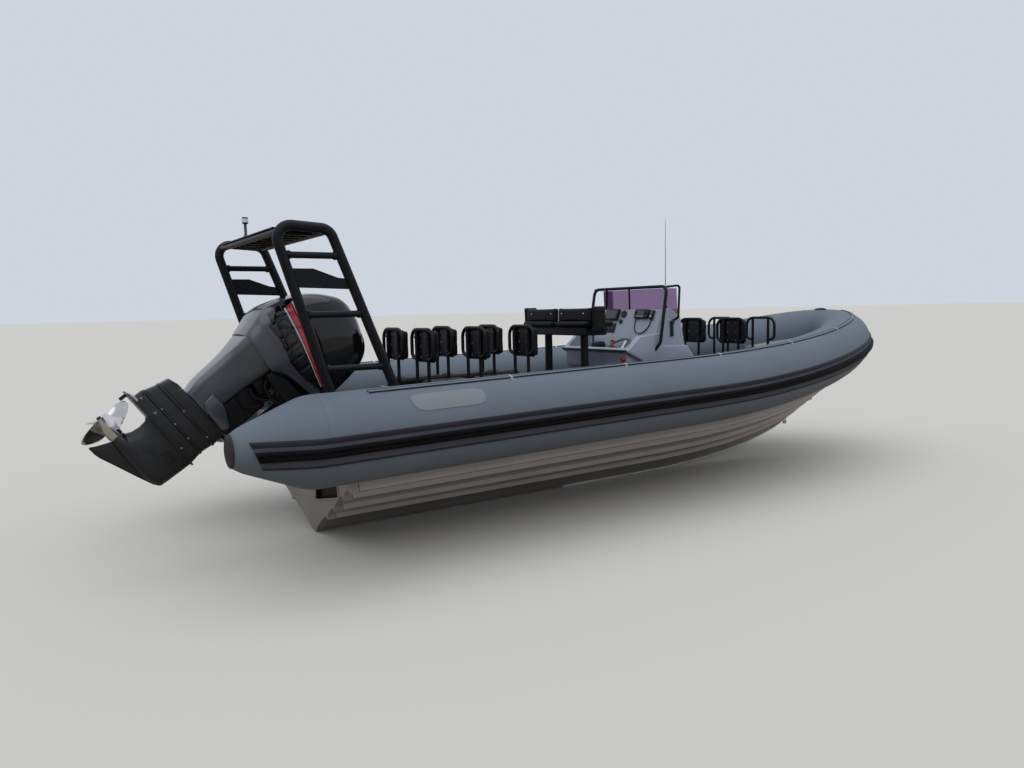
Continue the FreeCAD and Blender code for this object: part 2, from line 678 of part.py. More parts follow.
PAD_EASE = 24
pads = []
for x in hoop_rows[:-1]:
    for side in SIDES:
        middle = side * dim("seatSpread")
        face = x + dim("hoopTube") + 0.6
        pads.append(eased_block(face, face + dim("padThick"), middle - dim("padWidth") / 2, middle + dim("padWidth") / 2,
                                up(pad_mid - dim("padHeight") / 2), up(pad_mid + dim("padHeight") / 2), PAD_EASE))
feature("backrest_pads", Part.makeCompound(pads))

CUSHION_ROUND = 22
cushion_low = up(dim("podTop")) + 0.5
cushions = []
spans = [(AFT_ROWS[0] + 34, AFT_ROWS[1] - 34), (AFT_ROWS[1] + 34, AFT_ROWS[2] - 34), (AFT_ROWS[2] + 34, POD_FORE - 10),
         (BOW_POD_AFT + 10, dim("foreRow") - 34), (dim("foreRow") + 34, dim("foreRow") + dim("seatPitch") - 34)]
for start, end in spans:
    for side in SIDES:
        middle = side * dim("seatSpread")
        cushions.append(eased_block(start, end, middle - pod_half + 10, middle + pod_half - 10, cushion_low,
                                      cushion_low + dim("cushionThick"), CUSHION_ROUND))
feature("seat_cushions", Part.makeCompound(cushions))

# Helm seat: a two-place leaning post with thin squabs, back panels and a wing at each end
HELM_BACK = dim("consoleAft") - 400
SEAT_GAP = 10
helm_half = 455
SQUAB_LOW = 1386
SQUAB_THICK = 44
SQUAB_AFT = 48
SQUAB_FORE = 270
BACK_THICK = 52
BACK_TOP = 1544
BEAM_DEEP = 74
post_x = HELM_BACK + 102
helm_posts = []
for side in SIDES:
    middle = side * dim("seatSpread")
    helm_posts.append(tube_between(Vector(post_x, middle, up(floor) + 0.5), Vector(post_x, middle, up(SQUAB_LOW) - BEAM_DEEP / 2), 33))
    helm_posts.append(block(post_x - 80, post_x + 80, middle - 90, middle + 90, up(floor) + 0.5, up(floor) + 12))
beam = eased_block(HELM_BACK, HELM_BACK + 230, -helm_half + 60, helm_half - 60, up(SQUAB_LOW) - BEAM_DEEP, up(SQUAB_LOW) - 0.3, 10)
feature("helm_seat_frame", fuse_all(helm_posts + [beam]))
squabs = []
backs = []
wings = []
for side in SIDES:
    inner, outer = sorted((side * SEAT_GAP, side * helm_half))
    squabs.append(eased_block(HELM_BACK - SQUAB_AFT, HELM_BACK + SQUAB_FORE, inner, outer, up(SQUAB_LOW), up(SQUAB_LOW) + SQUAB_THICK, 12))
    backs.append(eased_block(HELM_BACK, HELM_BACK + BACK_THICK, inner, outer, up(SQUAB_LOW) + SQUAB_THICK + 0.3, up(BACK_TOP), 10))
    low, high = sorted((side * (helm_half + 0.3), side * (helm_half + 40)))
    wings.append(eased_block(HELM_BACK + 2, HELM_BACK + 140, low, high, up(SQUAB_LOW) - 56, up(BACK_TOP) + 12, 12))
feature("helm_squabs", Part.makeCompound(squabs))
feature("helm_back_panels", Part.makeCompound(backs))
feature("helm_bolsters", Part.makeCompound(wings))

# Console: a tub with a recess round the wheel, and a pod with a sloping dash on it
console_aft = dim("consoleAft")
pod_half_width = dim("consoleHalf")
console_foot = dim("consoleFoot")
DASH_FOOT_X = console_aft + 268
DASH_TOP_X = console_aft + 426
POD_FORE_X = console_aft + 752
# columns: station, height above the keel
pod_profile = [(DASH_FOOT_X, console_foot + 0.5), (DASH_TOP_X, dim("consoleTop")), (DASH_TOP_X + 100, dim("consoleTop") + 6),
               (POD_FORE_X - 108, dim("consoleTop") - 73), (POD_FORE_X - 38, console_foot + 10), (POD_FORE_X, console_foot + 0.5)]
prism("console", "XZ_Plane", [(x, up(height)) for x, height in pod_profile], "Dims.consoleHalf * 2")
TUB_UNDERCUT = 174
tub_profile = [(console_aft + TUB_UNDERCUT, floor + 0.5), (console_aft + TUB_UNDERCUT, console_foot - 20),
               (console_aft, console_foot + 58), (console_aft, console_foot + 82), (console_aft + 30, console_foot + 90),
               (console_aft + 144, console_foot + 190), (DASH_FOOT_X + 114, console_foot + 212),
               (DASH_FOOT_X + 164, console_foot + 100), (POD_FORE_X - 40, console_foot + 92),
               (POD_FORE_X + 42, console_foot), (POD_FORE_X + 74, floor + 0.5)]
tub = prism("console_base", "XZ_Plane", [(x, up(height)) for x, height in tub_profile], "Dims.tubHalf * 2")
doc.recompute()
RECESS_AFT = console_aft + 32
RECESS_HALF = 398
over_tub = console_foot + 300
pod_room = [(DASH_FOOT_X - 60, console_foot), (DASH_FOOT_X - 60, over_tub), (POD_FORE_X + 60, over_tub), (POD_FORE_X + 60, console_foot)]
recess = [(RECESS_AFT, dim("tubFloor")), (RECESS_AFT, over_tub), (DASH_FOOT_X + 1, over_tub), (DASH_FOOT_X - 20, dim("tubFloor"))]


def tub_pocket(name, corners, depth):
    """A pocket through part of the tub's width, centred on its middle plane."""
    sketch = sketch_of(tub, name, "XZ_Plane", [[(x, up(height)) for x, height in corners]])
    cut = tub.newObject("PartDesign::Pocket", name + "Cut")
    cut.Profile = sketch
    cut.Midplane = True
    cut.Length = depth
    sketch.Visibility = False
    doc.recompute()
    return cut


tub_pocket("WheelRecess", recess, 2 * RECESS_HALF)
tub_pocket("PodSeat", pod_room, 2 * (pod_half_width + 0.5))
console_shapes = [doc.getObject(name).Shape for name in ("console", "console_base")]

# Windscreen: a raked sheet with returned sides, in a tube frame
SCREEN_FOOT_X = DASH_TOP_X + 36
SCREEN_HEAD_X = DASH_TOP_X + 24
SCREEN_THICK = 6
SCREEN_RETURN = 150
screen_low = up(dim("consoleTop")) - 60
screen_high = up(dim("screenTop")) - dim("screenTube") - 1
screen_half = pod_half_width - 4


def screen_outline(x, z):
    """Plan outline of the windscreen at one height."""
    back = x + SCREEN_RETURN
    corners = [Vector(back, -screen_half, z), Vector(x, -screen_half + 50, z), Vector(x, screen_half - 50, z),
               Vector(back, screen_half, z), Vector(back + 2, screen_half - 6, z),
               Vector(x + SCREEN_THICK, screen_half - 54, z), Vector(x + SCREEN_THICK, -screen_half + 54, z),
               Vector(back + 2, -screen_half + 6, z)]
    return Part.makePolygon(corners + corners[:1])


screen = Part.makeLoft([screen_outline(SCREEN_FOOT_X, screen_low), screen_outline(SCREEN_HEAD_X, screen_high)], True, True)
feature("windscreen", sorted(screen.cut(console_shapes[0]).Solids, key=lambda solid: solid.CenterOfMass.z)[-1])

# Frame round the screen: an aft hoop that leans with the dash, a shorter fore leg each side and a middle post
FRAME_X = DASH_TOP_X + 4
FRAME_FOOT_X = FRAME_X - 118
FRAME_KNEE_X = FRAME_X - 78
FRAME_HALF = pod_half_width + dim("screenTube") + 36
FRAME_BEND = 60
frame_top = up(dim("screenTop"))
frame_foot = up(console_foot + 40)
hoop_line = [Vector(FRAME_FOOT_X, -pod_half_width + 4, frame_foot), Vector(FRAME_KNEE_X, -FRAME_HALF, frame_foot + 90),
             Vector(FRAME_X, -FRAME_HALF, frame_top), Vector(FRAME_X, FRAME_HALF, frame_top),
             Vector(FRAME_KNEE_X, FRAME_HALF, frame_foot + 90), Vector(FRAME_FOOT_X, pod_half_width - 4, frame_foot)]
frame_parts = [bent_tube(hoop_line, dim("screenTube"), FRAME_BEND)]
FORE_LEG_X = FRAME_X + 152
for side in SIDES:
    reach = side * FRAME_HALF
    fore_line = [Vector(FRAME_X, reach, frame_top - 4), Vector(FORE_LEG_X, reach, frame_top + 8),
                 Vector(FORE_LEG_X - 16, reach, frame_top - 268), Vector(FORE_LEG_X - 26, side * (pod_half_width - 4), frame_top - 298)]
    frame_parts.append(bent_tube(fore_line, dim("screenTube") - 4, 26))
post_x = FRAME_X + 2
frame_parts.append(tube_between(Vector(post_x, 0, frame_top), Vector(post_x + 6, 0, up(dim("consoleTop")) - 20), 8))
screen_frame = fuse_all(frame_parts)
for solid in console_shapes:
    screen_frame = screen_frame.cut(solid)
feature("screen_frame", sorted(screen_frame.Solids, key=lambda solid: solid.Volume)[-1])

# Instruments on the dash
dash_low = Vector(DASH_FOOT_X, 0, up(console_foot))
dash_high = Vector(DASH_TOP_X, 0, up(dim("consoleTop")))
dash_up = (dash_high - dash_low).normalize()
dash_out = Vector(-dash_up.z, 0, dash_up.x)
dash_turn = Rotation(dash_up, Y_AXIS, dash_out, "ZXY")
dash_length = (dash_high - dash_low).Length


def on_dash(along, across, proud):
    """A point of the dash: share up the slope, offset to port, height off its face."""
    return dash_low + dash_up * (along * dash_length) + Y_AXIS * across + dash_out * proud


def dash_box(along, across, width, tall, deep, ease):
    """An instrument case seated on the dash."""
    solid = eased_block(-tall / 2, tall / 2, -width / 2, width / 2, 0, deep, ease)
    solid.Placement = Placement(on_dash(along, across, 0.5), dash_turn)
    return solid


feature("chart_plotter", dash_box(0.88, 198, 196, 104, 34, 6))
gauge_list = []
# columns: share up the slope, offset to port, radius
GAUGES = [(0.9, 42, 34), (0.74, 58, 20)]
for along, across, radius in GAUGES:
    gauge = Part.makeCylinder(radius, 14)
    gauge.Placement = Placement(on_dash(along, across, 0.5), dash_turn)
    gauge_list.append(gauge)
feature("dash_gauges", Part.makeCompound(gauge_list))
feature("radio", dash_box(0.89, -205, 168, 82, 30, 6))

# Microphone in its clip beside the radio, and its lead
MIC_SHARE = 0.87
MIC_ACROSS = -330
feature("radio_microphone", dash_box(MIC_SHARE, MIC_ACROSS, 46, 84, 26, 6))
# columns: share up the slope, offset to port; the lead leaves the radio's foot, hangs and rises to the microphone
LEAD_ROUTE = [(0.788, -134), (0.70, -134), (0.56, -150), (0.485, -196), (0.49, -262), (0.60, -316), (0.70, -330), (0.771, -331)]
lead_proud = dim("leadRadius") + 0.6


def lead_tube(points, radius):
    """A cord along straight runs, each corner turned by an arc as large as its shorter run allows."""
    parts = []
    last = points[0]
    for before, corner, after in zip(points, points[1:], points[2:]):
        half_turn = (corner - before).getAngle(after - corner) / 2
        shorter = min((corner - before).Length, (after - corner).Length)
        bend = 0.45 * shorter / math.tan(half_turn)
        entry, middle, leave, centre, half_turn = corner_of(before, corner, after, bend)
        disc = Part.Face(Part.Wire([Part.makeCircle(radius, entry, corner - before)]))
        parts.append(tube_between(last, entry, radius))
        parts.append(disc.revolve(centre, (corner - before).cross(after - corner), math.degrees(2 * half_turn)))
        last = leave
    parts.append(tube_between(last, points[-1], radius))
    return fuse_all(parts)


feature("microphone_lead", lead_tube([on_dash(along, across, lead_proud) for along, across in LEAD_ROUTE], dim("leadRadius")))

# Steering wheel on a raked column that rises from the dash's foot
WHEEL_Y = -120
wheel_lean = math.radians(dim("wheelLean"))
wheel_axis = Vector(-math.cos(wheel_lean), 0, math.sin(wheel_lean))
wheel_turn = Rotation(wheel_axis.cross(Y_AXIS) * -1, Y_AXIS, wheel_axis, "ZXY")
wheel_hub = Vector(console_aft + 164, WHEEL_Y, up(console_foot + 52))
BOSS_TOP = 66
BOSS_RADIUS = 42
SHAFT_LONG = 60
boss = tube_between(wheel_hub - wheel_axis * 330, wheel_hub - wheel_axis * BOSS_TOP, BOSS_RADIUS)
shaft_bore = tube_between(wheel_hub - wheel_axis * (BOSS_TOP + SHAFT_LONG), wheel_hub - wheel_axis * (BOSS_TOP - 10),
                          dim("wheelShaft") + dim("bearingGap"))
boss = boss.cut(shaft_bore)
for solid in console_shapes:
    boss = boss.cut(solid)
feature("helm_boss", sorted(boss.Solids, key=lambda solid: solid.CenterOfMass.z)[-1])

HUB_LOW = 40
HUB_THICK = 24
wheel_parts = [Part.makeTorus(dim("wheelRadius"), dim("wheelRim"))]
wheel_parts.append(Part.makeCylinder(36, HUB_THICK, Vector(0, 0, -HUB_LOW)))
wheel_parts.append(Part.makeCylinder(dim("wheelShaft"), BOSS_TOP + SHAFT_LONG - HUB_LOW - 4, Vector(0, 0, -BOSS_TOP - SHAFT_LONG + 4)))
SPOKES = 3
SPOKE_HALF = 13
SPOKE_LEAN = -9
for spoke in range(SPOKES):
    turn = Rotation(Z_AXIS, 360 / SPOKES * spoke + 90)
    bar = block(20, dim("wheelRadius") - 4, -SPOKE_HALF, SPOKE_HALF, -4, 4)
    bar.Placement = Placement(Vector(0, 0, 0), turn).multiply(Placement(Vector(0, 0, -27), Rotation(Y_AXIS, SPOKE_LEAN)))
    wheel_parts.append(bar)
feature("steering_wheel", fuse_all(wheel_parts), Placement(wheel_hub, wheel_turn))

# Throttle binnacle on the tub's wing, to port of the wheel
BINNACLE_Y = 210
binnacle_base = Vector(DASH_FOOT_X - 24, BINNACLE_Y, up(console_foot) + 0.5)
binnacle = fuse_all([eased_block(-46, 60, -50, 50, 0, 130, 14),
                     tube_between(Vector(0, 45, 90), Vector(0, 66, 90), 18),
                     block(-9, 9, 58, 68, 88, 190),
                     eased_block(-15, 15, 34, 84, 182, 214, 8)])
binnacle.translate(binnacle_base - X_AXIS * 14)
for solid in console_shapes:
    binnacle = binnacle.cut(solid)
feature("throttle", sorted(binnacle.Solids, key=lambda solid: solid.Volume)[-1])

# Whip antenna on the pod's top
antenna_foot = Vector(DASH_TOP_X + 128, -pod_half_width + 92, up(dim("consoleTop")) - 6)
antenna = fuse_all([Part.makeCylinder(14, 40, antenna_foot, Z_AXIS),
                    Part.makeCone(5, 2, dim("antennaHeight"), antenna_foot + Z_AXIS * 35, Z_AXIS)])
feature("antenna", antenna.cut(console_shapes[0]))

# Bow locker with its cushion
locker_aft = BOW_POD_FORE + 40
LOCKER_LONG = 300
LOCKER_HALF = 230
feature("bow_locker", eased_block(locker_aft, locker_aft + LOCKER_LONG, -LOCKER_HALF, LOCKER_HALF, up(floor) + 0.5,
                                  up(dim("podTop")) + 50, 24))

# Outboard: everything below is drawn upright about the tilt tube, aft is -X, then leaned to its rest tilt
tilt_point = Vector(-dim("tiltAft"), 0, up(dim("tiltHeight")))
rest = Placement(tilt_point, Rotation(Y_AXIS, dim("restTilt")))
fixed = Placement(tilt_point, Rotation())
spread = dim("bracketSpread")
bracket_half = dim("bracketThick") / 2
transom_face = -dim("transomRake") * dim("tiltHeight") + dim("tiltAft")
board_top = dim("transomTop") - dim("tiltHeight")


def face_at(z):
    """X of the transom's outer face at a height from the tilt tube."""
    return transom_face - dim("transomRake") * z


clear = dim("seamGap")
inner_at_top = face_at(board_top) + dim("transomThick") + clear
clamp_outline = [
    (face_at(-340) - clear, -340), (face_at(board_top) - clear, board_top + clear), (inner_at_top, board_top + clear),
    (inner_at_top + 30, board_top - 110), (inner_at_top + 46, board_top - 104), (inner_at_top + 24, board_top + 30),
    (26, 24), (-14, 30), (-34, 0), (face_at(-200) - 76, -200), (face_at(-300) - 66, -350), (face_at(-340) - 20, -372),
]
clamp_parts = []
for side in SIDES:
    face = Part.Face(Part.makePolygon([Vector(x, -bracket_half, z) for x, z in clamp_outline + clamp_outline[:1]]))
    plate = face.extrude(Y_AXIS * dim("bracketThick"))
    plate.translate(Y_AXIS * side * spread)
    clamp_parts.append(plate)
clamp_parts.append(tube_between(Vector(0, -spread - 40, 0), Vector(0, spread + 40, 0), dim("tiltTubeRadius")))
RAM_FOOT_X = 0
RAM_FOOT_Z = -330
PIN_RADIUS = 11
clamp_parts.append(tube_between(Vector(RAM_FOOT_X, -spread, RAM_FOOT_Z), Vector(RAM_FOOT_X, spread, RAM_FOOT_Z), PIN_RADIUS))
feature("clamp_brackets", fuse_all(clamp_parts), fixed)

# Swivel bracket: a yoke on the tilt tube that carries the steering shaft's housing
swivel_half = spread - bracket_half - 6
steer_x = -dim("steerAft")
SWIVEL_TUBE = 29
HOUSING_TOP = -14
HOUSING_LOW = -372
housing = Part.makeCylinder(42, HOUSING_TOP - HOUSING_LOW, Vector(steer_x, 0, HOUSING_LOW), Z_AXIS)
yoke = fuse_all([
    tube_between(Vector(0, -swivel_half, 0), Vector(0, swivel_half, 0), SWIVEL_TUBE),
    block(steer_x + 10, -6, -swivel_half, swivel_half, -30, HOUSING_TOP),
    housing,
])
swivel = yoke.cut(tube_between(Vector(0, -400, 0), Vector(0, 400, 0), dim("tiltTubeRadius") + dim("bearingGap")))
swivel = swivel.cut(tube_between(Vector(steer_x, 0, -500), Vector(steer_x, 0, 100), dim("steerShaft") + dim("bearingGap")))
feature("swivel_bracket", fuse_all([swivel]), rest)


# Outboard sections across the drive shaft
def cowl_wire(front, back, half, front_half, corner):
    """Cowl section as eight edges; front and back are (x, z) of its middle line."""
    def at(share, y):
        x = front[0] + share * (back[0] - front[0])
        z = front[1] + share * (back[1] - front[1])
        return Vector(x, y, z)

    length = abs(front[0] - back[0])
    cut = corner / length
    bow_share = 0.012
    ring = []
    names = [
        (at(0, -front_half + corner), at(-bow_share, 0), at(0, front_half - corner)),
        (at(0, front_half - corner), at(cut * 0.3, front_half - corner * 0.3), at(cut, front_half)),
        (at(cut, front_half), at(0.5, half), at(1 - cut, half * 0.94)),
        (at(1 - cut, half * 0.94), at(1 - cut * 0.3, half * 0.94 - corner * 0.3), at(1, half * 0.94 - corner)),
        (at(1, half * 0.94 - corner), at(1 + bow_share, 0), at(1, -half * 0.94 + corner)),
        (at(1, -half * 0.94 + corner), at(1 - cut * 0.3, -half * 0.94 + corner * 0.3), at(1 - cut, -half * 0.94)),
        (at(1 - cut, -half * 0.94), at(0.5, -half), at(cut, -front_half)),
        (at(cut, -front_half), at(cut * 0.3, -front_half + corner * 0.3), at(0, -front_half + corner)),
    ]
    for start, middle, end in names:
        ring.append(Part.Arc(start, middle, end).toShape())
    return Part.Wire(ring)


# columns: front x, front z, back x, back z, half breadth, front half breadth, corner radius
UPPER_COWL = [
    (-20, 112, -668, 118, 252, 222, 90),
    (-6, 150, -684, 162, 260, 228, 94),
    (2, 215, -724, 240, 270, 234, 98),
    (4, 310, -734, 325, 273, 234, 100),
    (2, 400, -712, 420, 271, 230, 98),
    (-3, 485, -684, 505, 264, 222, 96),
    (-12, 560, -646, 590, 252, 208, 94),
    (-28, 630, -596, 662, 234, 190, 90),
    (-54, 690, -540, 722, 210, 164, 84),
    (-100, 738, -484, 772, 176, 130, 70),
    (-160, 770, -420, 802, 134, 92, 54),
]


def cowl_loft(table):
    """A cowl shell from a table of sections."""
    wires = [cowl_wire((fx, fz), (bx, bz), half, front_half, corner) for fx, fz, bx, bz, half, front_half, corner in table]
    return Part.makeLoft(wires, True, True)


feature("upper_cowl", cowl_loft(UPPER_COWL), rest)
LOWER_COWL = [
    (-72, 46, -652, 46, 224, 190, 80),
    (-48, 80, -656, 84, 238, 206, 84),
    (-22, 111.5, -666, 117.5, 250, 220, 88),
]
COWL_SKIRT = [
    (-205, -61.5, -620, -61.5, 142, 112, 60),
    (-205, 0, -640, 0, 176, 140, 70),
    (-205, 60, -652, 60, 216, 168, 80),
]
lower_cowl = fuse_all([cowl_loft(LOWER_COWL), cowl_loft(COWL_SKIRT)])
feature("lower_cowl", lower_cowl, rest)


def plan_wire(z, half_plan):
    """A section from the starboard half of its plan outline, nose first."""
    port = [Vector(x, y, z) for x, y in half_plan]
    starboard = [Vector(x, -y, z) for x, y in reversed(half_plan) if y > 0]
    corners = port + starboard
    return Part.makePolygon(corners + corners[:1])


# Midsection: a narrow core ahead and the broad fairing aft of it
# columns: height, then (x, half breadth) from the nose to the tail
MIDSECTION = [
    (-62, [(-206, 58), (-232, 84), (-380, 92), (-396, 138), (-560, 136), (-620, 104)]),
    (-180, [(-206, 56), (-232, 80), (-384, 88), (-400, 134), (-556, 128), (-628, 92)]),
    (-290, [(-208, 54), (-234, 76), (-386, 84), (-402, 128), (-560, 116), (-626, 80)]),
    (-392, [(-214, 50), (-240, 72), (-388, 80), (-404, 112), (-580, 96), (-652, 62)]),
]
midsection = Part.makeLoft([plan_wire(z, plan) for z, plan in MIDSECTION], True, True)
feature("midsection", midsection, rest)
LEG = [
    (-392.6, [(-220, 40), (-246, 74), (-420, 96), (-600, 74), (-700, 34)]),
    (-470, [(-224, 36), (-250, 66), (-420, 84), (-600, 62), (-706, 28)]),
    (-560, [(-238, 32), (-262, 58), (-420, 72), (-600, 52), (-722, 24)]),
    (-dim("plateDrop"), [(-222, 30), (-248, 54), (-420, 66), (-620, 48), (-744, 22)]),
]
leg = Part.makeLoft([plan_wire(z, plan) for z, plan in LEG], True, True)
feature("leg_extension", leg, rest)

plate_top = -dim("plateDrop")
# columns: x, half breadth
PLATE_PLAN = [(-206, 30), (-250, 76), (-320, 98), (-640, 128), (-770, 118), (-818, 96)]
plate_wire = plan_wire(plate_top, PLATE_PLAN)
feature("anti_ventilation_plate", Part.Face(plate_wire).extrude(Z_AXIS * -dim("plateThick")), rest)

# Gearcase: strut, torpedo and skeg in one casting
shaft_z = -dim("shaftDrop")
GEAR_NOSE = -224
GEAR_TAIL = -636
gear = dim("gearRadius")
# columns: x, share of the gearcase radius
GEAR_PROFILE = [(GEAR_NOSE, 0.0), (-232, 0.36), (-250, 0.58), (-290, 0.84), (-350, 1.0), (-470, 1.02), (-560, 0.94), (GEAR_TAIL, 0.8), (GEAR_TAIL, 0.0)]
gear_outline = [Vector(x, 0, shaft_z + share * gear) for x, share in GEAR_PROFILE]
torpedo = Part.Face(Part.makePolygon(gear_outline + gear_outline[:1])).revolve(gear_outline[0], X_AXIS, 360)
strut_top = plate_top - dim("plateThick") - dim("seamGap")
strut = Part.makeLoft([plan_wire(strut_top, [(-214, 12), (-240, 34), (-420, 48), (-600, 34), (-690, 10)]),
                       plan_wire(shaft_z + 14, [(-226, 10), (-262, 36), (-420, 50), (-560, 34), (-612, 10)])], True, True)
skeg = Part.makeLoft([plan_wire(shaft_z - 12, [(-236, 6), (-300, 22), (-460, 26), (-560, 18), (-604, 6)]),
                      plan_wire(shaft_z - 60, [(-352, 4), (-400, 12), (-500, 14), (-590, 9), (-634, 3)]),
                      plan_wire(shaft_z - 160, [(-622, 2), (-640, 4), (-660, 5), (-684, 4), (-700, 2)])], True, True)
prop_shaft = tube_between(Vector(-590, 0, shaft_z), Vector(-800, 0, shaft_z), dim("propBore"))
feature("gearcase", fuse_all([torpedo, strut, skeg, prop_shaft]), rest)

# Steering yoke: the engine's arms above and below the swivel bracket, and the shaft between them
arm_top = fuse_all([
    Part.makeCylinder(46, 40, Vector(steer_x, 0, HOUSING_TOP + 2), Z_AXIS),
    block(-262, steer_x, -40, 40, HOUSING_TOP + 2, HOUSING_TOP + 42),
    Part.makeCylinder(dim("steerShaft"), HOUSING_TOP + 42 - HOUSING_LOW + 44, Vector(steer_x, 0, HOUSING_LOW - 44), Z_AXIS),
    Part.makeCylinder(44, 42, Vector(steer_x, 0, HOUSING_LOW - 44), Z_AXIS),
    block(-240, steer_x, -34, 34, HOUSING_LOW - 44, HOUSING_LOW - 20),
])
for solid in (lower_cowl, midsection, leg):
    arm_top = arm_top.cut(solid)
feature("steering_yoke", sorted(arm_top.Solids, key=lambda solid: solid.Volume)[-1], rest)

# Trim tab under the plate and two anodes on it
tab = block(-815, -794, -5, 5, plate_top - dim("plateThick") - 46, plate_top - dim("plateThick") - 0.5)
feature("trim_tab", tab, rest)
ANODE_Z = plate_top + 0.5
anodes = [eased_block(-790, -744, -92, -34, ANODE_Z, ANODE_Z + 16, 4), eased_block(-790, -744, 34, 92, ANODE_Z, ANODE_Z + 16, 4)]
feature("anodes", Part.makeCompound(anodes), rest)

# Propeller: a hub with three raked blades
prop_x = -642
PROP_LENGTH = 148
BLADE_MIDDLE = -728
hub = Part.makeCylinder(dim("propHub"), PROP_LENGTH, Vector(prop_x, 0, shaft_z), X_AXIS * -1)
hub = hub.cut(Part.makeCylinder(dim("propBore") + dim("bearingGap"), PROP_LENGTH + 40, Vector(prop_x + 20, 0, shaft_z), X_AXIS * -1))
BLADES = 3
# columns: radius, half chord, pitch angle, aft rake, half thickness
BLADE_TABLE = [(40, 50, 62, 0, 7), (90, 78, 46, 8, 6), (140, 82, 34, 20, 5), (dim("propRadius"), 40, 27, 34, 2.5)]


def blade_wire(radius, half_chord, pitch, rake, half_thick):
    """Blade section at a radius, as an eight-sided flat lens."""
    lean = math.radians(pitch)
    chordwise = Vector(-math.sin(lean), math.cos(lean), 0)
    normal = Vector(math.cos(lean), math.sin(lean), 0)
    middle = Vector(BLADE_MIDDLE - rake, 0, shaft_z + radius)
    corners = []
    for along, off in ((-1, 0), (-0.5, 1), (0.4, 1), (1, 0.1), (1, -0.1), (0.4, -0.6), (-0.5, -0.6)):
        corners.append(middle + chordwise * (along * half_chord) + normal * (off * half_thick))
    return Part.makePolygon(corners + corners[:1])


blade = Part.makeLoft([blade_wire(*row) for row in BLADE_TABLE], True, True)
prop_parts = [hub]
for index in range(BLADES):
    turned = blade.copy()
    turned.rotate(Vector(prop_x, 0, shaft_z), X_AXIS, 360 / BLADES * index + 25)
    prop_parts.append(turned)
feature("propeller", fuse_all(prop_parts).cut(
    Part.makeCylinder(dim("propBore") + dim("bearingGap"), PROP_LENGTH + 40, Vector(prop_x + 20, 0, shaft_z), X_AXIS * -1)), rest)

# Tilt ram between the clamp brackets and the swivel bracket
ram_foot = Vector(RAM_FOOT_X, 0, RAM_FOOT_Z)
eye_local = Vector(-50, 0, -75)
ram_eye = Rotation(Y_AXIS, dim("restTilt")).multVec(eye_local)
ram_line = (ram_eye - ram_foot)
ram_axis = ram_line.normalize()
BARREL_RADIUS = 28
BARREL_LENGTH = 215
ROD_LENGTH = 212
ROD_RADIUS = 14
ram_length = (ram_eye - ram_foot).Length
barrel = fuse_all([tube_between(ram_foot + ram_axis * 20, ram_foot + ram_axis * BARREL_LENGTH, BARREL_RADIUS),
                   Part.makeCylinder(26, 44, ram_foot - Y_AXIS * 22, Y_AXIS)])
barrel = barrel.cut(tube_between(ram_foot + ram_axis * 40, ram_foot + ram_axis * (BARREL_LENGTH + 10), ROD_RADIUS + dim("bearingGap")))
barrel = barrel.cut(Part.makeCylinder(PIN_RADIUS + dim("bearingGap"), 100, ram_foot - Y_AXIS * 50, Y_AXIS))
feature("tilt_ram_barrel", barrel, fixed)
rod = fuse_all([tube_between(ram_foot + ram_axis * (ram_length - ROD_LENGTH), ram_foot + ram_axis * (ram_length - 10), ROD_RADIUS),
                Part.makeCylinder(20, 30, ram_eye - Y_AXIS * 15, Y_AXIS)])
feature("tilt_ram_rod", rod, fixed)

doc.recompute()

# Checks before anything is written
for item in doc.Objects:
    if "Invalid" in item.State or "Error" in item.State:
        raise RuntimeError("failed: " + item.Name)
os.makedirs("parts", exist_ok=True)
for piece in pieces:
    shape = piece.Shape
    if shape.isNull() or not shape.isValid():
        raise RuntimeError("bad shape: " + piece.Label)
    shape.exportStep("parts/" + piece.Label + ".step")
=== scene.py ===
import math
import bmesh
import bpy
from mathutils import Matrix, Vector
from mathutils.bvhtree import BVHTree


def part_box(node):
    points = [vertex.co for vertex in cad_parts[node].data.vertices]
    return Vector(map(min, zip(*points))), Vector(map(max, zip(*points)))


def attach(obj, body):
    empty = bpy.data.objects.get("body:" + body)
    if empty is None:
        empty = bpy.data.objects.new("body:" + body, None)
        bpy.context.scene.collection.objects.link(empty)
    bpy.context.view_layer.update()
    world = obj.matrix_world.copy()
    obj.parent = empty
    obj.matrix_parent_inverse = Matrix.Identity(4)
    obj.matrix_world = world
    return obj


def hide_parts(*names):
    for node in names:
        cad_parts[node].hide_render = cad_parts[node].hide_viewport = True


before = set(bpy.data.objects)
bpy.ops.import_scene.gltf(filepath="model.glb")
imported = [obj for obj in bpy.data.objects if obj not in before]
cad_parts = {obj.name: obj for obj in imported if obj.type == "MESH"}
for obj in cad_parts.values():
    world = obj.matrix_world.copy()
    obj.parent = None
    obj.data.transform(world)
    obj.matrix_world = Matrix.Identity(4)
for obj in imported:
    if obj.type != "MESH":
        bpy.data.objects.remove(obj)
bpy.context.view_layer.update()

# Camera: standing off the starboard quarter with the eye a metre and a half up, through a wide lens,
# as the picture was taken.
camera_data = bpy.data.cameras.new("beach_camera")
camera_data.lens = 27.04
camera_data.sensor_width = 36.0
camera = bpy.data.objects.new("beach_camera", camera_data)
bpy.context.collection.objects.link(camera)
EYE = (-1.772, -5.257, 1.079)
camera_right = Vector((0.83209, -0.55422, -0.02148))
camera_up = Vector((0.07049, 0.06726, 0.99524))
camera_turn = Matrix((camera_right, camera_up, camera_right.cross(camera_up))).transposed()
camera.matrix_world = Matrix.Translation(EYE) @ camera_turn.to_4x4()
bpy.context.scene.camera = camera


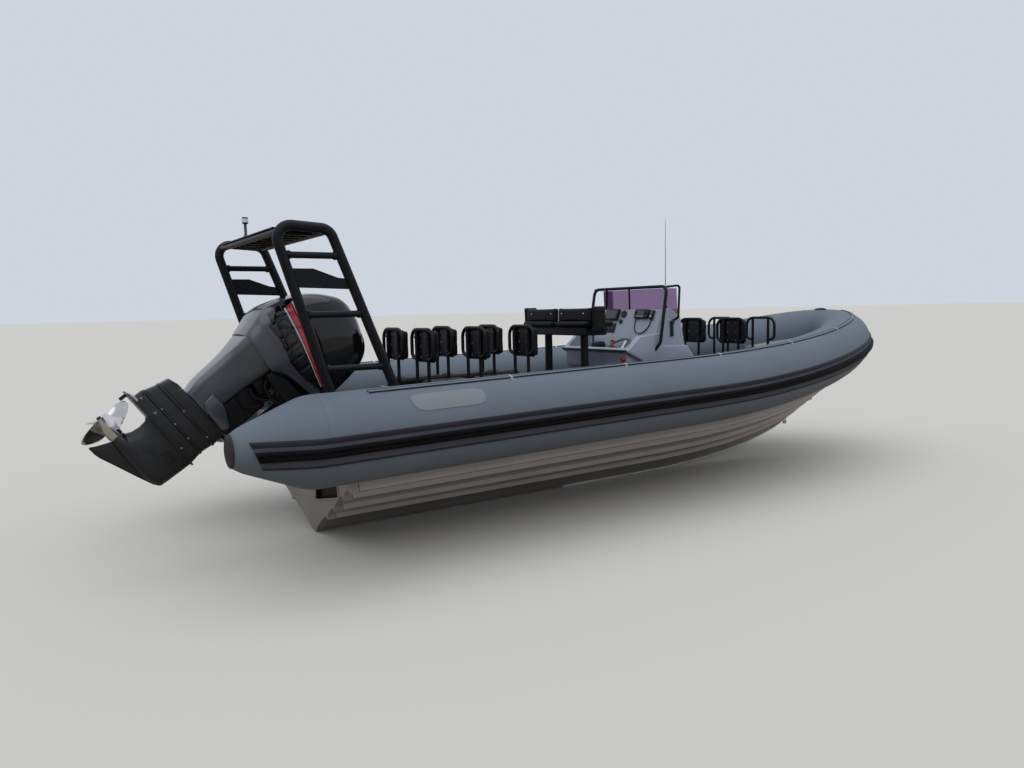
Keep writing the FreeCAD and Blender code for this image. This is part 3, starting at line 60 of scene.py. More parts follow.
# Daylight: a pale overcast sky all round and a very broad soft sun overhead, so the upward faces are the
# bright ones. What the camera and the glossy rays see of the sky is its pale colour at full strength.
def filled(tree, node, sockets):
    """Gives each named socket of a node its value, or a link from another node's output."""
    for key, value in sockets.items():
        socket = node.inputs[key]
        if isinstance(value, bpy.types.NodeSocket):
            tree.links.new(value, socket)
        else:
            socket.default_value = (*value, 1.0) if socket.type == "RGBA" else value
    return node.outputs


def wired(tree, kind, sockets, **settings):
    """Adds a node to a tree, with its settings and sockets."""
    node = tree.nodes.new("ShaderNode" + kind)
    for key, value in settings.items():
        setattr(node, key, value)
    return filled(tree, node, sockets)


world = bpy.data.worlds.new("overcast")
world.use_nodes = True
sky = world.node_tree
daylight = filled(sky, sky.nodes["Background"], {"Color": (0.86, 0.93, 1.0), "Strength": 0.56})
seen_sky = wired(sky, "Background", {"Color": (0.62, 0.66, 0.73), "Strength": 1.0})
ray = wired(sky, "LightPath", {})
straight = wired(sky, "Math", {0: ray["Is Camera Ray"], 1: ray["Is Transmission Ray"]}, operation="MAXIMUM")
seen = wired(sky, "Math", {0: straight[0], 1: ray["Is Glossy Ray"]}, operation="MAXIMUM")
both_skies = wired(sky, "MixShader", {"Fac": seen[0], 1: daylight[0], 2: seen_sky[0]})
filled(sky, sky.nodes["World Output"], {"Surface": both_skies[0]})
bpy.context.scene.world = world
veiled_data = bpy.data.lights.new("veiled_sun", "SUN")
veiled_data.color = (0.93, 0.97, 1.0)
veiled_data.angle = math.radians(100.0)
veiled_data.energy = 1.75
veiled_sun = bpy.data.objects.new("veiled_sun", veiled_data)
veiled_sun.rotation_euler = (math.radians(14.0), math.radians(-6.0), 0.0)
bpy.context.collection.objects.link(veiled_sun)
bpy.context.scene.view_settings.view_transform = "Standard"

# Floor: plain pale ground under the keel. It looks pale to the camera, and throws back about as much light as
# damp sand does.
FLOOR_LEVEL = -0.4585


def placed(name, bm):
    """Makes a drawn mesh an object of the scene."""
    mesh = bpy.data.meshes.new(name)
    bm.to_mesh(mesh)
    bm.free()
    made = bpy.data.objects.new(name, mesh)
    bpy.context.collection.objects.link(made)
    return made


def shaded(name):
    """A new material, its node tree and its shader."""
    paint = bpy.data.materials.new(name)
    paint.use_nodes = True
    return paint, paint.node_tree, paint.node_tree.nodes["Principled BSDF"]


floor_bm = bmesh.new()
bmesh.ops.create_grid(floor_bm, x_segments=1, y_segments=1, size=500.0,
                      matrix=Matrix.Translation((0.0, 0.0, FLOOR_LEVEL)))
ground = placed("ground", floor_bm)
ground_paint, ground_tree, ground_shader = shaded("pale_ground")
ground_seen = wired(ground_tree, "LightPath", {})["Is Camera Ray"]
ground_tone = wired(ground_tree, "Mix", {"Factor": ground_seen, "A": (0.36, 0.31, 0.25),
                                         "B": (0.6, 0.565, 0.52)}, data_type="RGBA")
filled(ground_tree, ground_shader, {"Roughness": 0.92, "Base Color": ground_tone["Result"]})
ground.data.materials.append(ground_paint)

# Microphone lead: a soft black rubber lead clipped under the radio, which hangs in a loop over the sloping
# dash and comes up to the hand microphone. Its ends go into their cases.
DASH_FOOT = Vector((2.846, 0.0, 0.65))
DASH_HEAD = Vector((3.004, 0.0, 1.065))
DASH_UP = (DASH_HEAD - DASH_FOOT).normalized()
DASH_OUT = Vector((-DASH_UP.z, 0.0, DASH_UP.x))


def on_dash(share, across, proud):
    """A point of the dash: share up its slope, offset to port, height off its face."""
    return DASH_FOOT + (DASH_HEAD - DASH_FOOT) * share + Vector((0.0, across, 0.0)) + DASH_OUT * proud


def moulded(name, colour, roughness, mottle=0.1, patch=3.0, grain=0.0, grain_size=400.0, metallic=0.0,
            coat=0.0, wear=0.0, worn=None, sheen=0.5):
    """A finish with a little drift of tone and gloss, a fine grain, and paler scuffs where it is worn."""
    paint, tree, shader = shaded(name)
    place = wired(tree, "TexCoord", {})["Object"]

    def noise(scale, detail, rough):
        """Noise over the piece's own place."""
        return wired(tree, "TexNoise", {"Vector": place, "Scale": scale, "Detail": detail,
                                        "Roughness": rough})["Fac"]

    def spread(value, **ends):
        """A value moved to another range."""
        sockets = {key.replace("_", " ").title(): end for key, end in ends.items()}
        return wired(tree, "MapRange", {"Value": value, **sockets})["Result"]

    def mixed(share, low, high):
        """One colour passing into another."""
        return wired(tree, "Mix", {"Factor": share, "A": low, "B": high}, data_type="RGBA")["Result"]

    drift = noise(patch, 6.0, 0.62)
    tone = mixed(spread(drift, from_min=0.32, from_max=0.68), [c * (1.0 - mottle) for c in colour],
                 [min(1.0, c * (1.0 + mottle)) for c in colour])
    if wear:
        scuff = spread(noise(patch * 9.0, 9.0, 0.75), from_min=0.56, from_max=0.74, to_max=wear)
        tone = mixed(scuff, tone, worn or [c * 1.6 + 0.03 for c in colour])
    gloss = spread(drift, to_min=max(0.03, roughness * 0.82), to_max=min(1.0, roughness * 1.22))
    filled(tree, shader, {"Base Color": tone, "Roughness": gloss, "Metallic": metallic,
                          "Specular IOR Level": sheen, "Coat Weight": coat, "Coat Roughness": 0.06})
    if grain:
        relief = wired(tree, "Bump", {"Height": noise(grain_size, 3.0, 0.5), "Strength": grain,
                                      "Distance": 0.001})
        filled(tree, shader, {"Normal": relief["Normal"]})
    return paint


LEAD_RADIUS = 0.005
LEAD_PROUD = LEAD_RADIUS + 0.0006
# columns: share up the dash, offset to port
LEAD_ROUTE = [(0.788, -0.134), (0.7, -0.134), (0.56, -0.15), (0.485, -0.196), (0.49, -0.262), (0.6, -0.316),
              (0.7, -0.33), (0.771, -0.331)]
lead_curve = bpy.data.curves.new("microphone_lead_line", "CURVE")
lead_curve.dimensions = "3D"
lead_curve.resolution_u = 16
lead_curve.bevel_depth = LEAD_RADIUS
lead_curve.bevel_resolution = 4
lead_curve.use_fill_caps = True
lead_spline = lead_curve.splines.new("NURBS")
lead_spline.points.add(len(LEAD_ROUTE) - 1)
for point, (share, across) in zip(lead_spline.points, LEAD_ROUTE):
    point.co = (*on_dash(share, across, LEAD_PROUD), 1.0)
lead_spline.order_u = 3
lead_spline.use_endpoint_u = True
lead = bpy.data.objects.new("microphone_lead_line", lead_curve)
bpy.context.collection.objects.link(lead)
lead_curve.materials.append(moulded("lead_rubber", (0.018, 0.018, 0.02), 0.55, grain=0.2))
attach(lead, "boat")
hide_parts("microphone_lead")

# Inflated tube: coated fabric drawn tight over its air chambers, glued up in panels with a tape over each
# joint. A long cone closes each end at the stern, and the bow rises with the sheer.
TUBE_SPREAD = 1.03
TUBE_RADIUS = 0.27
BOW_RADIUS = 0.252
STRAIGHT_END = 2.9
BOW_LENGTH = 3.0
CONE_ROOT_X = -0.38
CONE_TIP_X = -0.79
CONE_TIP_RADIUS = 0.105
KEEL_Z = -0.45


def up(height):
    """Z of a height above the keel."""
    return height + KEEL_Z


def sheer(x):
    """Height of the tube's axis above the keel: an even rise along the boat and a quickening one at the bow."""
    along = (x - CONE_ROOT_X) / 6.28
    rising = max(0.0, x - 2.6) / 3.3
    return 0.81 + 0.126 * along + 0.28 * rising ** 2


def cone_radius(x):
    """The stern cone's radius, eased where it leaves the straight tube and rounded in to its cap."""
    slope = (TUBE_RADIUS - CONE_TIP_RADIUS) / (CONE_ROOT_X - CONE_TIP_X)
    ease = 0.055
    ahead = x - CONE_ROOT_X
    if ahead >= ease:
        return TUBE_RADIUS
    if ahead > -ease:
        return TUBE_RADIUS - slope * (ease - ahead) ** 2 / (4.0 * ease)
    turned_in = max(0.0, CONE_TIP_X + 0.075 - x)
    return TUBE_RADIUS + slope * ahead - 2.6 * turned_in ** 2


def straight_stations(start, end, count, side=-1):
    """Stations of the tube's straight run or cone: centre, outward direction and radius."""
    found = []
    for step in range(count + 1):
        x = start + (end - start) * step / count
        centre = Vector((x, side * TUBE_SPREAD, up(sheer(max(x, CONE_ROOT_X)))))
        found.append((centre, Vector((0.0, side, 0.0)), cone_radius(x)))
    return found


def bow_stations(start, end, step, side=-1):
    """Stations of the tube's bow, by angle from the end of the straight run to the stem."""
    found = []
    count = max(1, round((end - start) / step))
    for index in range(count + 1):
        degrees = start + (end - start) * index / count
        turn = math.radians(degrees)
        x = STRAIGHT_END + BOW_LENGTH * math.sin(turn)
        heading = math.atan2(TUBE_SPREAD * math.sin(turn), BOW_LENGTH * math.cos(turn))
        centre = Vector((x, side * TUBE_SPREAD * math.cos(turn), up(sheer(x))))
        outward = Vector((math.sin(heading), side * math.cos(heading), 0.0))
        found.append((centre, outward, TUBE_RADIUS + (BOW_RADIUS - TUBE_RADIUS) * degrees / 90.0))
    return found


def round_the_bow(start, count):
    """Stations from the starboard stern round the bow, and their mirror images back to the port stern."""
    starboard = (straight_stations(start, -0.2, count) + straight_stations(0.0, STRAIGHT_END, 12)
                 + bow_stations(1.5, 90.0, 1.5))
    across = Vector((1.0, -1.0, 1.0))
    return starboard + [(centre * across, outward * across, radius)
                        for centre, outward, radius in reversed(starboard[:-1])]


def on_tube(station, angle, proud):
    """A point of the tube's skin at an angle above its outward direction."""
    centre, outward, radius = station
    reach = radius + proud
    return centre + outward * (reach * math.cos(angle)) + Vector((0.0, 0.0, reach * math.sin(angle)))


def of_kind(items, kind):
    """The vertices, edges or faces in what an operator made."""
    return [item for item in items if isinstance(item, kind)]


def swept(bm, rings, closed=True, capped=False, paint=0):
    """Draws a line or ring of points through its places, one extrusion at a time."""
    order = bm.verts.layers.int.get("order") or bm.verts.layers.int.new("order")
    last = [bm.verts.new(place) for place in rings[0]]
    for index, vert in enumerate(last):
        vert[order] = index
    edges = [bm.edges.new(pair) for pair in zip(last, last[1:])]
    if closed:
        edges.append(bm.edges.new((last[-1], last[0])))
    faces = [bm.faces.new(last)] if capped else []
    for ring in rings[1:]:
        made = bmesh.ops.extrude_edge_only(bm, edges=edges)["geom"]
        last = of_kind(made, bmesh.types.BMVert)
        for vert in last:
            vert.co = ring[vert[order]]
        fresh = set(last)
        faces += of_kind(made, bmesh.types.BMFace)
        edges = [edge for edge in of_kind(made, bmesh.types.BMEdge) if fresh.issuperset(edge.verts)]
    if capped:
        faces.append(bm.faces.new(sorted(last, key=lambda vert: vert[order])))
    for face in faces:
        face.material_index = paint


def drawn(*runs):
    """A mesh of closed sweeps with their ends filled."""
    bm = bmesh.new()
    for rings in runs:
        swept(bm, rings, capped=True)
    return bm


def fitted(name, bm, paints, stands_for=(), crisp=40.0, body="boat"):
    """Makes a finished piece of a mesh: outward faces, smooth but for its crisp edges, riding on its body."""
    bmesh.ops.remove_doubles(bm, verts=bm.verts, dist=0.00002)
    bmesh.ops.recalc_face_normals(bm, faces=bm.faces)
    piece = placed(name, bm)
    for paint in paints:
        piece.data.materials.append(paint)
    piece.data.shade_smooth()
    piece.data.set_sharp_from_angle(angle=math.radians(crisp))
    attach(piece, body)
    if stands_for:
        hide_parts(*stands_for)


def circle(count):
    """Angles evenly round a circle."""
    return [2.0 * math.pi * index / count for index in range(count)]


def ring_of(station, proud=0.0):
    """The tube's round section at a station."""
    return [on_tube(station, angle, proud) for angle in circle(72)]


TUBE_GREY = (0.108, 0.132, 0.163)
tube_fabric = moulded("coated_fabric", TUBE_GREY, 0.62, mottle=0.07, patch=1.6, grain=0.35, grain_size=700.0,
                      wear=0.1, worn=(0.17, 0.18, 0.2), sheen=0.4)
tube_line = round_the_bow(CONE_TIP_X, 24)
tube_rings = [ring_of(station) for station in tube_line]
fitted("air_tube", drawn(tube_rings), [tube_fabric], ["tube_collar"], 60.0)

# Joint tapes: strips of the same fabric, a hand wide, glued over the seams where the stern cones begin.
TAPE_X = -0.3
TAPE_HALF = 0.02
TAPE_PROUD = 0.0012
tape_fabric = moulded("tape_fabric", [c * 0.93 for c in TUBE_GREY], 0.58, mottle=0.06, patch=2.0, grain=0.3,
                      grain_size=700.0)
tape_bm = bmesh.new()
for side in (-1, 1):
    aft, middle, fore = straight_stations(TAPE_X - TAPE_HALF, TAPE_X + TAPE_HALF, 2, side)
    swept(tape_bm, [ring_of(aft), ring_of(aft, TAPE_PROUD), ring_of(middle, TAPE_PROUD),
                    ring_of(fore, TAPE_PROUD), ring_of(fore)])
fitted("tube_joint_tapes", tape_bm, [tape_fabric], crisp=70.0)

# Cone caps: a domed rubber disc glued over the small end of each cone, with a rolled rim.
cap_rubber = moulded("cap_rubber", (0.03, 0.026, 0.025), 0.55, mottle=0.15, patch=12.0, grain=0.3,
                     grain_size=500.0, sheen=0.2)
# columns: height ahead of the cone's end, radius
CAP_PROFILE = [(0.006, 0.09), (0.0, 0.0935), (-0.005, 0.0925), (-0.0095, 0.087), (-0.0145, 0.072),
               (-0.018, 0.05), (-0.02, 0.025), (-0.0207, 0.0)]


def lathed(bm, places, centre, axis, steps):
    """Turns a line of places right round an axis."""
    verts = [bm.verts.new(place) for place in places]
    edges = [bm.edges.new(pair) for pair in zip(verts, verts[1:])]
    bmesh.ops.spin(bm, geom=verts + edges, cent=centre, axis=axis, dvec=(0.0, 0.0, 0.0), angle=2.0 * math.pi,
                   steps=steps, use_merge=True)


cap_bm = bmesh.new()
for side in (-1, 1):
    centre = Vector((CONE_TIP_X, side * TUBE_SPREAD, up(sheer(CONE_ROOT_X))))
    lathed(cap_bm, [centre + Vector((x, 0.0, r)) for x, r in CAP_PROFILE], centre, (1.0, 0.0, 0.0), 56)
fitted("cone_end_caps", cap_bm, [cap_rubber], ["cone_caps"], 32.0)

# Rubbing band: a wide ribbed rubber extrusion glued round the outside of the tube from one cone to the other,
# with a dark bead along both edges and a high black fender strip along its middle.
RAIL_DROP = 0.025
RAIL_START_X = -0.72
RAIL_SLANT = 0.4
SLANT_LENGTH = 0.22
rail_line = round_the_bow(RAIL_START_X, 20)


def band_rings(profile):
    """Rings of a strip glued along the tube; profile is (arc length above the band's middle, height off
    the tube). The aft end is cut aslant, its top edge further aft."""
    rings = []
    for centre, outward, radius in rail_line:
        lean = max(0.0, 1.0 - (centre.x - RAIL_START_X) / SLANT_LENGTH)
        ring = []
        for arc, proud in profile:
            place = centre.copy()
            reach = radius
            if lean:
                place.x += lean * RAIL_SLANT * (0.08 - arc)
                reach = cone_radius(place.x)
            ring.append(on_tube((place, outward, reach), (arc - RAIL_DROP) / reach, proud))
        rings.append(ring)
    return rings


def both_ways(half):
    """A profile and its mirror image, from end to end."""
    return [(-across, proud) for across, proud in reversed(half)] + half


# columns of the profiles: arc length above the band's middle, height off the tube
BAND_PROFILE = [(-0.0775, -0.001), (-0.077, 0.0048), (-0.06, 0.006), (-0.025, 0.006), (0.025, 0.006),
                (0.052, 0.0055), (0.077, 0.0048), (0.0775, -0.001)]
UPPER_BEAD = [(0.05, 0.003), (0.0502, 0.0088), (0.053, 0.0112), (0.064, 0.0104), (0.065, 0.009),
              (0.066, 0.0104), (0.077, 0.0096), (0.08, 0.0068), (0.0802, 0.001)]
LOWER_BEAD = [(-0.0792, 0.001), (-0.079, 0.0075), (-0.077, 0.0092), (-0.07, 0.0092), (-0.0682, 0.0075),
              (-0.068, 0.003)]
CORE_HALF = [(0.0025, 0.0262), (0.006, 0.03), (0.016, 0.03), (0.023, 0.0262), (0.0265, 0.017), (0.027, 0.004)]
band_rubber = moulded("band_rubber", (0.062, 0.064, 0.083), 0.6, patch=2.5, grain=0.25, grain_size=500.0,
                      wear=0.12, sheen=0.25)
bead_rubber = moulded("edge_bead_rubber", (0.017, 0.016, 0.022), 0.55, mottle=0.18, patch=4.0, grain=0.3,
                      grain_size=500.0, wear=0.18, worn=(0.045, 0.042, 0.045), sheen=0.18)
core_rubber = moulded("fender_rubber", (0.0045, 0.004, 0.005), 0.56, mottle=0.2, patch=5.0, grain=0.3,
                      wear=0.16, worn=(0.022, 0.018, 0.018), sheen=0.05)
fitted("rubbing_band", drawn(band_rings(BAND_PROFILE)), [band_rubber], ["rub_rail"], 50.0)
fitted("band_edge_beads", drawn(band_rings(UPPER_BEAD), band_rings(LOWER_BEAD)), [bead_rubber],
       crisp=50.0)
fitted("fender_strip", drawn(band_rings(both_ways(CORE_HALF))), [core_rubber], ["rub_rail_insert"],
       50.0)

# Spray bead on the tube's inner shoulder: a flat strip of fabric with a black piping on both edges, held by
# small stainless saddles, which runs from beside the transom to the turn of the bow.
# columns: station, arc length above the outward line
BEAD_RUN = [(-0.38, 0.346), (0.7, 0.35), (1.78, 0.362), (2.9, 0.37), (3.42, 0.368), (3.93, 0.356),
            (4.4, 0.342), (4.83, 0.33), (5.2, 0.322), (5.5, 0.318), (5.72, 0.32), (5.9, 0.324)]


def read_off(table, x):
    """Straight-line reading of a two-column table."""
    for (x0, y0), (x1, y1) in zip(table, table[1:]):
        if x <= x1:
            return y0 + (y1 - y0) * (x - x0) / (x1 - x0)
    return table[-1][1]


def bead_rings(line, profile):
    """Rings of a strip that follows the bead's run over the tube's shoulder."""
    rings = []
    for station in line:
        middle = read_off(BEAD_RUN, station[0].x)
        rings.append([on_tube(station, (middle + arc) / station[2], proud) for arc, proud in profile])
    return rings


STRIP_HALF = [(0.01, 0.0082), (0.013, 0.006), (0.013, 0.0)]
PIPING = [(0.012, 0.0), (0.0125, 0.007), (0.015, 0.0095), (0.018, 0.007), (0.0185, 0.0)]
OTHER_PIPING = both_ways(PIPING)[:len(PIPING)]
shoulders = [straight_stations(-0.02, STRAIGHT_END, 14, side) + bow_stations(1.5, 79.5, 1.5, side)
             for side in (-1, 1)]
fitted("shoulder_strip", drawn(*[bead_rings(line, both_ways(STRIP_HALF)) for line in shoulders]),
       [tape_fabric], ["tube_bead"], 50.0)
fitted("shoulder_piping", drawn(*[bead_rings(line, edge) for line in shoulders
                                  for edge in (PIPING, OTHER_PIPING)]), [bead_rubber], crisp=50.0)

# Hull: glass-fibre laminate laid up in overlapping planks, each ending in a hooked lip that throws the spray
# down. It carries a flange inboard of the tube; the open side is hidden inside the tube. A painted shade
# darkens the gelcoat in the recess inward of each lip; the lips' outer faces keep the full pale tone.
# columns: half breadth of the aft section, height above the keel, painted shade
PLANKS = [(0.0, -0.0001, 0.4), (0.026, 0.0, 0.4), (0.1, 0.055, 0.3), (0.19, 0.108, 0.42), (0.28, 0.155, 0.72),
          (0.34, 0.184, 0.97), (0.368, 0.16, 0.7), (0.376, 0.166, 0.0), (0.38, 0.194, 0.0),
          (0.415, 0.22, 0.38), (0.455, 0.244, 0.52), (0.5, 0.268, 0.76), (0.534, 0.284, 0.97),
          (0.562, 0.259, 0.7), (0.57, 0.265, 0.0), (0.574, 0.296, 0.0), (0.61, 0.322, 0.36),
          (0.66, 0.352, 0.5), (0.72, 0.384, 0.72), (0.768, 0.404, 0.97), (0.798, 0.379, 0.7),
          (0.806, 0.385, 0.0), (0.81, 0.418, 0.0), (0.835, 0.436, 0.36), (0.865, 0.454, 0.52),
          (0.9, 0.472, 0.82), (0.914, 0.48, 0.97), (0.952, 0.455, 0.7), (0.959, 0.461, 0.0),
          (0.962, 0.5, 0.3)]
# Painted shade on the side, flange and cockpit floor beyond the planks.
PLAIN_PAINTED_SHADE = 0.35
# columns: station, height of the keel there
KEEL_LINE = [(0.06, 0.0), (3.0, 0.0), (3.45, 0.006), (3.9, 0.03), (4.25, 0.068), (4.6, 0.12), (4.825, 0.172),
             (5.05, 0.232), (5.225, 0.308), (5.4, 0.398), (5.52, 0.5), (5.64, 0.65), (5.72, 0.8),
             (5.79, 0.985)]
COCKPIT_HALF = TUBE_SPREAD - TUBE_RADIUS - 0.012
COCKPIT_END = 5.1
TRANSOM_RAKE = 0.2
CHINE_BREADTH, CHINE_HEIGHT = PLANKS[-1][:2]


def oval(x, length):
    """The share of its full breadth that a line rounding the bow still has at a station."""
    ahead = min(1.0, max(0.0, x - STRAIGHT_END) / length)
    return math.sqrt(1.0 - ahead * ahead)


def hull_ring(x, side):
    """Half section of the hull at a station: keel, planks, side, flange and cockpit floor."""
    keel = read_off(KEEL_LINE, x)
    breadth = max(0.04, TUBE_SPREAD * oval(x, BOW_LENGTH) - 0.068)
    axis = sheer(x)
    chine = max(axis - 0.31, keel + 0.06)
    rake = TRANSOM_RAKE * max(0.0, 1.0 - (x - 0.06) / 2.94)
    inner = COCKPIT_HALF * oval(min(x, COCKPIT_END), BOW_LENGTH - TUBE_RADIUS - 0.012)
    deck = 0.56 if x < COCKPIT_END else axis - 0.0012
    line = [(breadth * y / CHINE_BREADTH, keel + (chine - keel) * h / CHINE_HEIGHT) for y, h, painted_shade in PLANKS]
    lip = min(breadth - 0.004, inner + 0.014)
    wall = min(inner, lip - 0.006)
    line += [(breadth - 0.002, chine + 0.06), (lip, axis - 0.006), (lip - 0.003, axis - 0.001),
             (min(inner + 0.003, lip - 0.004), axis - 0.001), (wall, axis - 0.006), (wall, deck), (0.0, deck)]
    return [Vector((x - rake * h, side * y, up(h))) for y, h in line]


def tinted(paint, share, tint, blend="MIX"):
    """Lays a second tone over a finish's colour."""
    tree = paint.node_tree
    shader = tree.nodes["Principled BSDF"]
    under = shader.inputs["Base Color"].links[0].from_socket
    over = wired(tree, "Mix", {"Factor": share, "A": under, "B": tint}, data_type="RGBA", blend_type=blend)
    filled(tree, shader, {"Base Color": over["Result"]})


gelcoat = moulded("grey_gelcoat", (0.4, 0.372, 0.37), 0.42, mottle=0.09, patch=2.2, grain=0.05,
                  grain_size=60.0, coat=0.15, wear=0.22, worn=(0.2, 0.16, 0.12))
# Painted shade: the attribute read here mixes the gelcoat toward near-black in the plank recesses.
tinted(gelcoat, wired(gelcoat.node_tree, "Attribute", {}, attribute_name="painted_shade")["Fac"], (0.03, 0.027, 0.028))
hull_stations = [0.0605, 0.3, 0.7, 1.1, 1.5, 1.9, 2.3, 2.7, 3.0] + [3.0 + 0.07 * step for step in range(1, 30)]
hull_stations += [5.099, 5.101] + [5.101 + 0.0689 * step for step in range(1, 11)]
hull_bm = bmesh.new()
for side in (1, -1):
    swept(hull_bm, [hull_ring(x, side) for x in hull_stations], closed=False)
hull_order = hull_bm.verts.layers.int["order"]
# Each vertex takes its painted shade from the plank table.
hull_painted_shade = hull_bm.verts.layers.float.new("painted_shade")
for vert in hull_bm.verts:
    vert[hull_painted_shade] = PLANKS[vert[hull_order]][2] if vert[hull_order] < len(PLANKS) else PLAIN_PAINTED_SHADE
bmesh.ops.remove_doubles(hull_bm, verts=hull_bm.verts, dist=0.00005)
bmesh.ops.holes_fill(hull_bm, edges=[edge for edge in hull_bm.edges if edge.is_boundary], sides=0)
fitted("planked_hull", hull_bm, [gelcoat], ["hull"], 34.0)

# Keel guard: a strip of hard rubber bonded under the forefoot, which takes the beach; it is the palest
# part below.
guard_rubber = moulded("guard_rubber", (0.8, 0.79, 0.77), 0.6, mottle=0.12, patch=8.0, grain=0.3,
                       grain_size=260.0, wear=0.35, worn=(0.5, 0.45, 0.38))
# columns: half breadth, height above the keel line
GUARD_HALF = [(0.012, -0.0082), (0.024, -0.0068), (0.049, 0.0115), (0.05, 0.0175)]
guard_stations = [2.2 + 3.44 * step / 56 for step in range(57)]
guard_rings = [[Vector((x, y, up(read_off(KEEL_LINE, x) + h))) for y, h in both_ways(GUARD_HALF)]
               for x in guard_stations]
fitted("keel_guard_strip", drawn(guard_rings), [guard_rubber], ["keel_guard"], 50.0)

# Transom: a raked board moulded in with the hull, rubbed by the engine well, with a slanted scupper port
# through it each side, its rim thickened.
transom_grp = moulded("transom_gelcoat", (0.265, 0.25, 0.252), 0.4, mottle=0.14, grain=0.06, grain_size=80.0,
                      coat=0.2, wear=0.2, worn=(0.19, 0.16, 0.13))
flap_rubber_and_port_shade = moulded("flap_rubber_and_port_shade", (0.01, 0.0095, 0.01), 0.6, mottle=0.2, patch=14.0, grain=0.4,
                      grain_size=300.0, sheen=0.2)


def coat_node(names, paint):
    """Gives carried-over solids their finish."""
    for name in names:
        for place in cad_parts[name].material_slots:
            place.material = paint


def shaped(piece):
    """A new mesh of an object as its modifiers leave it."""
    bpy.context.view_layer.update()
    return bpy.data.meshes.new_from_object(piece.evaluated_get(bpy.context.evaluated_depsgraph_get()))


def carved(bm, cutters):
    """The solid less each cutting solid."""
    parts = [placed("carved", source) for source in [bm] + cutters]
    for tool in parts[1:]:
        cut = parts[0].modifiers.new("cut", "BOOLEAN")
        cut.operation = "DIFFERENCE"
        cut.solver = "EXACT"
        cut.object = tool
    made = bmesh.new()
    made.from_mesh(shaped(parts[0]))
    for spent in parts:
        bpy.data.objects.remove(spent)
    return made


def rounded(bm, edges, ease, segments=3):
    """Rounds edges of a mesh."""
    bmesh.ops.bevel(bm, geom=list(edges), offset=ease, segments=segments, profile=0.5, affect="EDGES", material=-1,
                    clamp_overlap=True)


def slab(bm, outline, shift, ease=0.0, segments=3, sharp=0.9):
    """A flat outline drawn out by a shift; an ease rounds its edges where they turn more than sharp."""
    face = bm.faces.new([bm.verts.new(place) for place in outline])
    made = bmesh.ops.extrude_face_region(bm, geom=[face])["geom"]
    bmesh.ops.translate(bm, verts=of_kind(made, bmesh.types.BMVert), vec=shift)
    bmesh.ops.recalc_face_normals(bm, faces=bm.faces)
    if ease:
        rounded(bm, [edge for edge in bm.edges if edge.calc_face_angle(0.0) > sharp], ease, segments)
    return bm


def transom_slab(bm, outline, aft, fore, side=1, ease=0.0):
    """A board along the transom's rake, between depths ahead of its aft face; outline (half breadth, height)."""
    raked = [(aft - TRANSOM_RAKE * h, side * y, up(h)) for y, h in outline]
    return slab(bm, raked, (fore - aft, 0.0, 0.0), ease)


CORNER_RADIUS = 0.03


def eased_quad(corners, out):
    """A four-sided outline let out by a margin, with round corners."""
    cy = sum(y for y, h in corners) / 4.0
    ch = sum(h for y, h in corners) / 4.0
    big = [Vector((y + (out if y > cy else -out), h + (out if h > ch else -out))) for y, h in corners]
    outline = []
    for index, here in enumerate(big):
        back = (big[index - 1] - here).normalized() * CORNER_RADIUS
        ahead = (big[(index + 1) % 4] - here).normalized() * CORNER_RADIUS
        outline += [tuple(here + back * (1 - t) ** 2 + ahead * t * t) for t in (0.0, 0.2, 0.4, 0.6, 0.8, 1.0)]
    return outline


# columns: half breadth, height; the outline above the planks, then the scupper's corners
TRANSOM_TOP = [(0.96, 0.5), (0.958, 0.548), (0.93, 0.56), (0.9, 0.5765), (0.869, 0.5965), (0.84, 0.622),
               (0.817, 0.645), (0.785, 0.695), (0.765, 0.745), (0.757, 0.795), (0.748, 0.808), (0.43, 0.81),
               (0.39, 0.805), (0.366, 0.786), (0.35, 0.764), (0.326, 0.755)]
SCUPPER = [(0.226, 0.281), (0.716, 0.39), (0.74, 0.5), (0.314, 0.4)]


def scupper_boards(bm, margin, aft, fore, ease=0.0):
    """Adds a board of the scupper's outline, let out by a margin, on each side."""
    for side in (-1, 1):
        transom_slab(bm, eased_quad(SCUPPER, margin), aft, fore, side, ease)
    return bm


side_outline = [(y, h) for y, h, painted_shade in PLANKS[1:-1]] + TRANSOM_TOP
board_outline = side_outline + [(-y, h) for y, h in reversed(side_outline)]
transom_bm = transom_slab(bmesh.new(), board_outline, 0.0006, 0.0565)
transom_bm = carved(transom_bm, [scupper_boards(bmesh.new(), 0.0, -0.05, 0.046)])
# Painted shade: the scupper port's inner walls get the near-black flap rubber, standing for the shade inside the
# port.
for face in transom_bm.faces:
    middle = face.calc_center_median()
    height = middle.z - KEEL_Z
    in_shaded_port = 0.2 < abs(middle.y) < 0.75 and 0.226 + 0.225 * abs(middle.y) < height < 0.51
    if in_shaded_port and 0.02 < middle.x + TRANSOM_RAKE * height < 0.05:
        face.material_index = 1
bmesh.ops.triangulate(transom_bm, faces=[face for face in transom_bm.faces if len(face.verts) > 4])
fitted("transom_board", transom_bm, [transom_grp, flap_rubber_and_port_shade], ["transom"], 30.0)
rims = carved(scupper_boards(bmesh.new(), 0.013, -0.005, 0.003, 0.0022),
              [scupper_boards(bmesh.new(), 0.0, -0.05, 0.046)])
fitted("scupper_rims", rims, [transom_grp])

# Scupper flaps: soft rubber flaps hung inside the transom's two drain ports.
flap_bm = scupper_boards(bmesh.new(), -0.006, 0.03, 0.036, 0.0015)
fitted("scupper_flaps", flap_bm, [flap_rubber_and_port_shade], crisp=50.0)

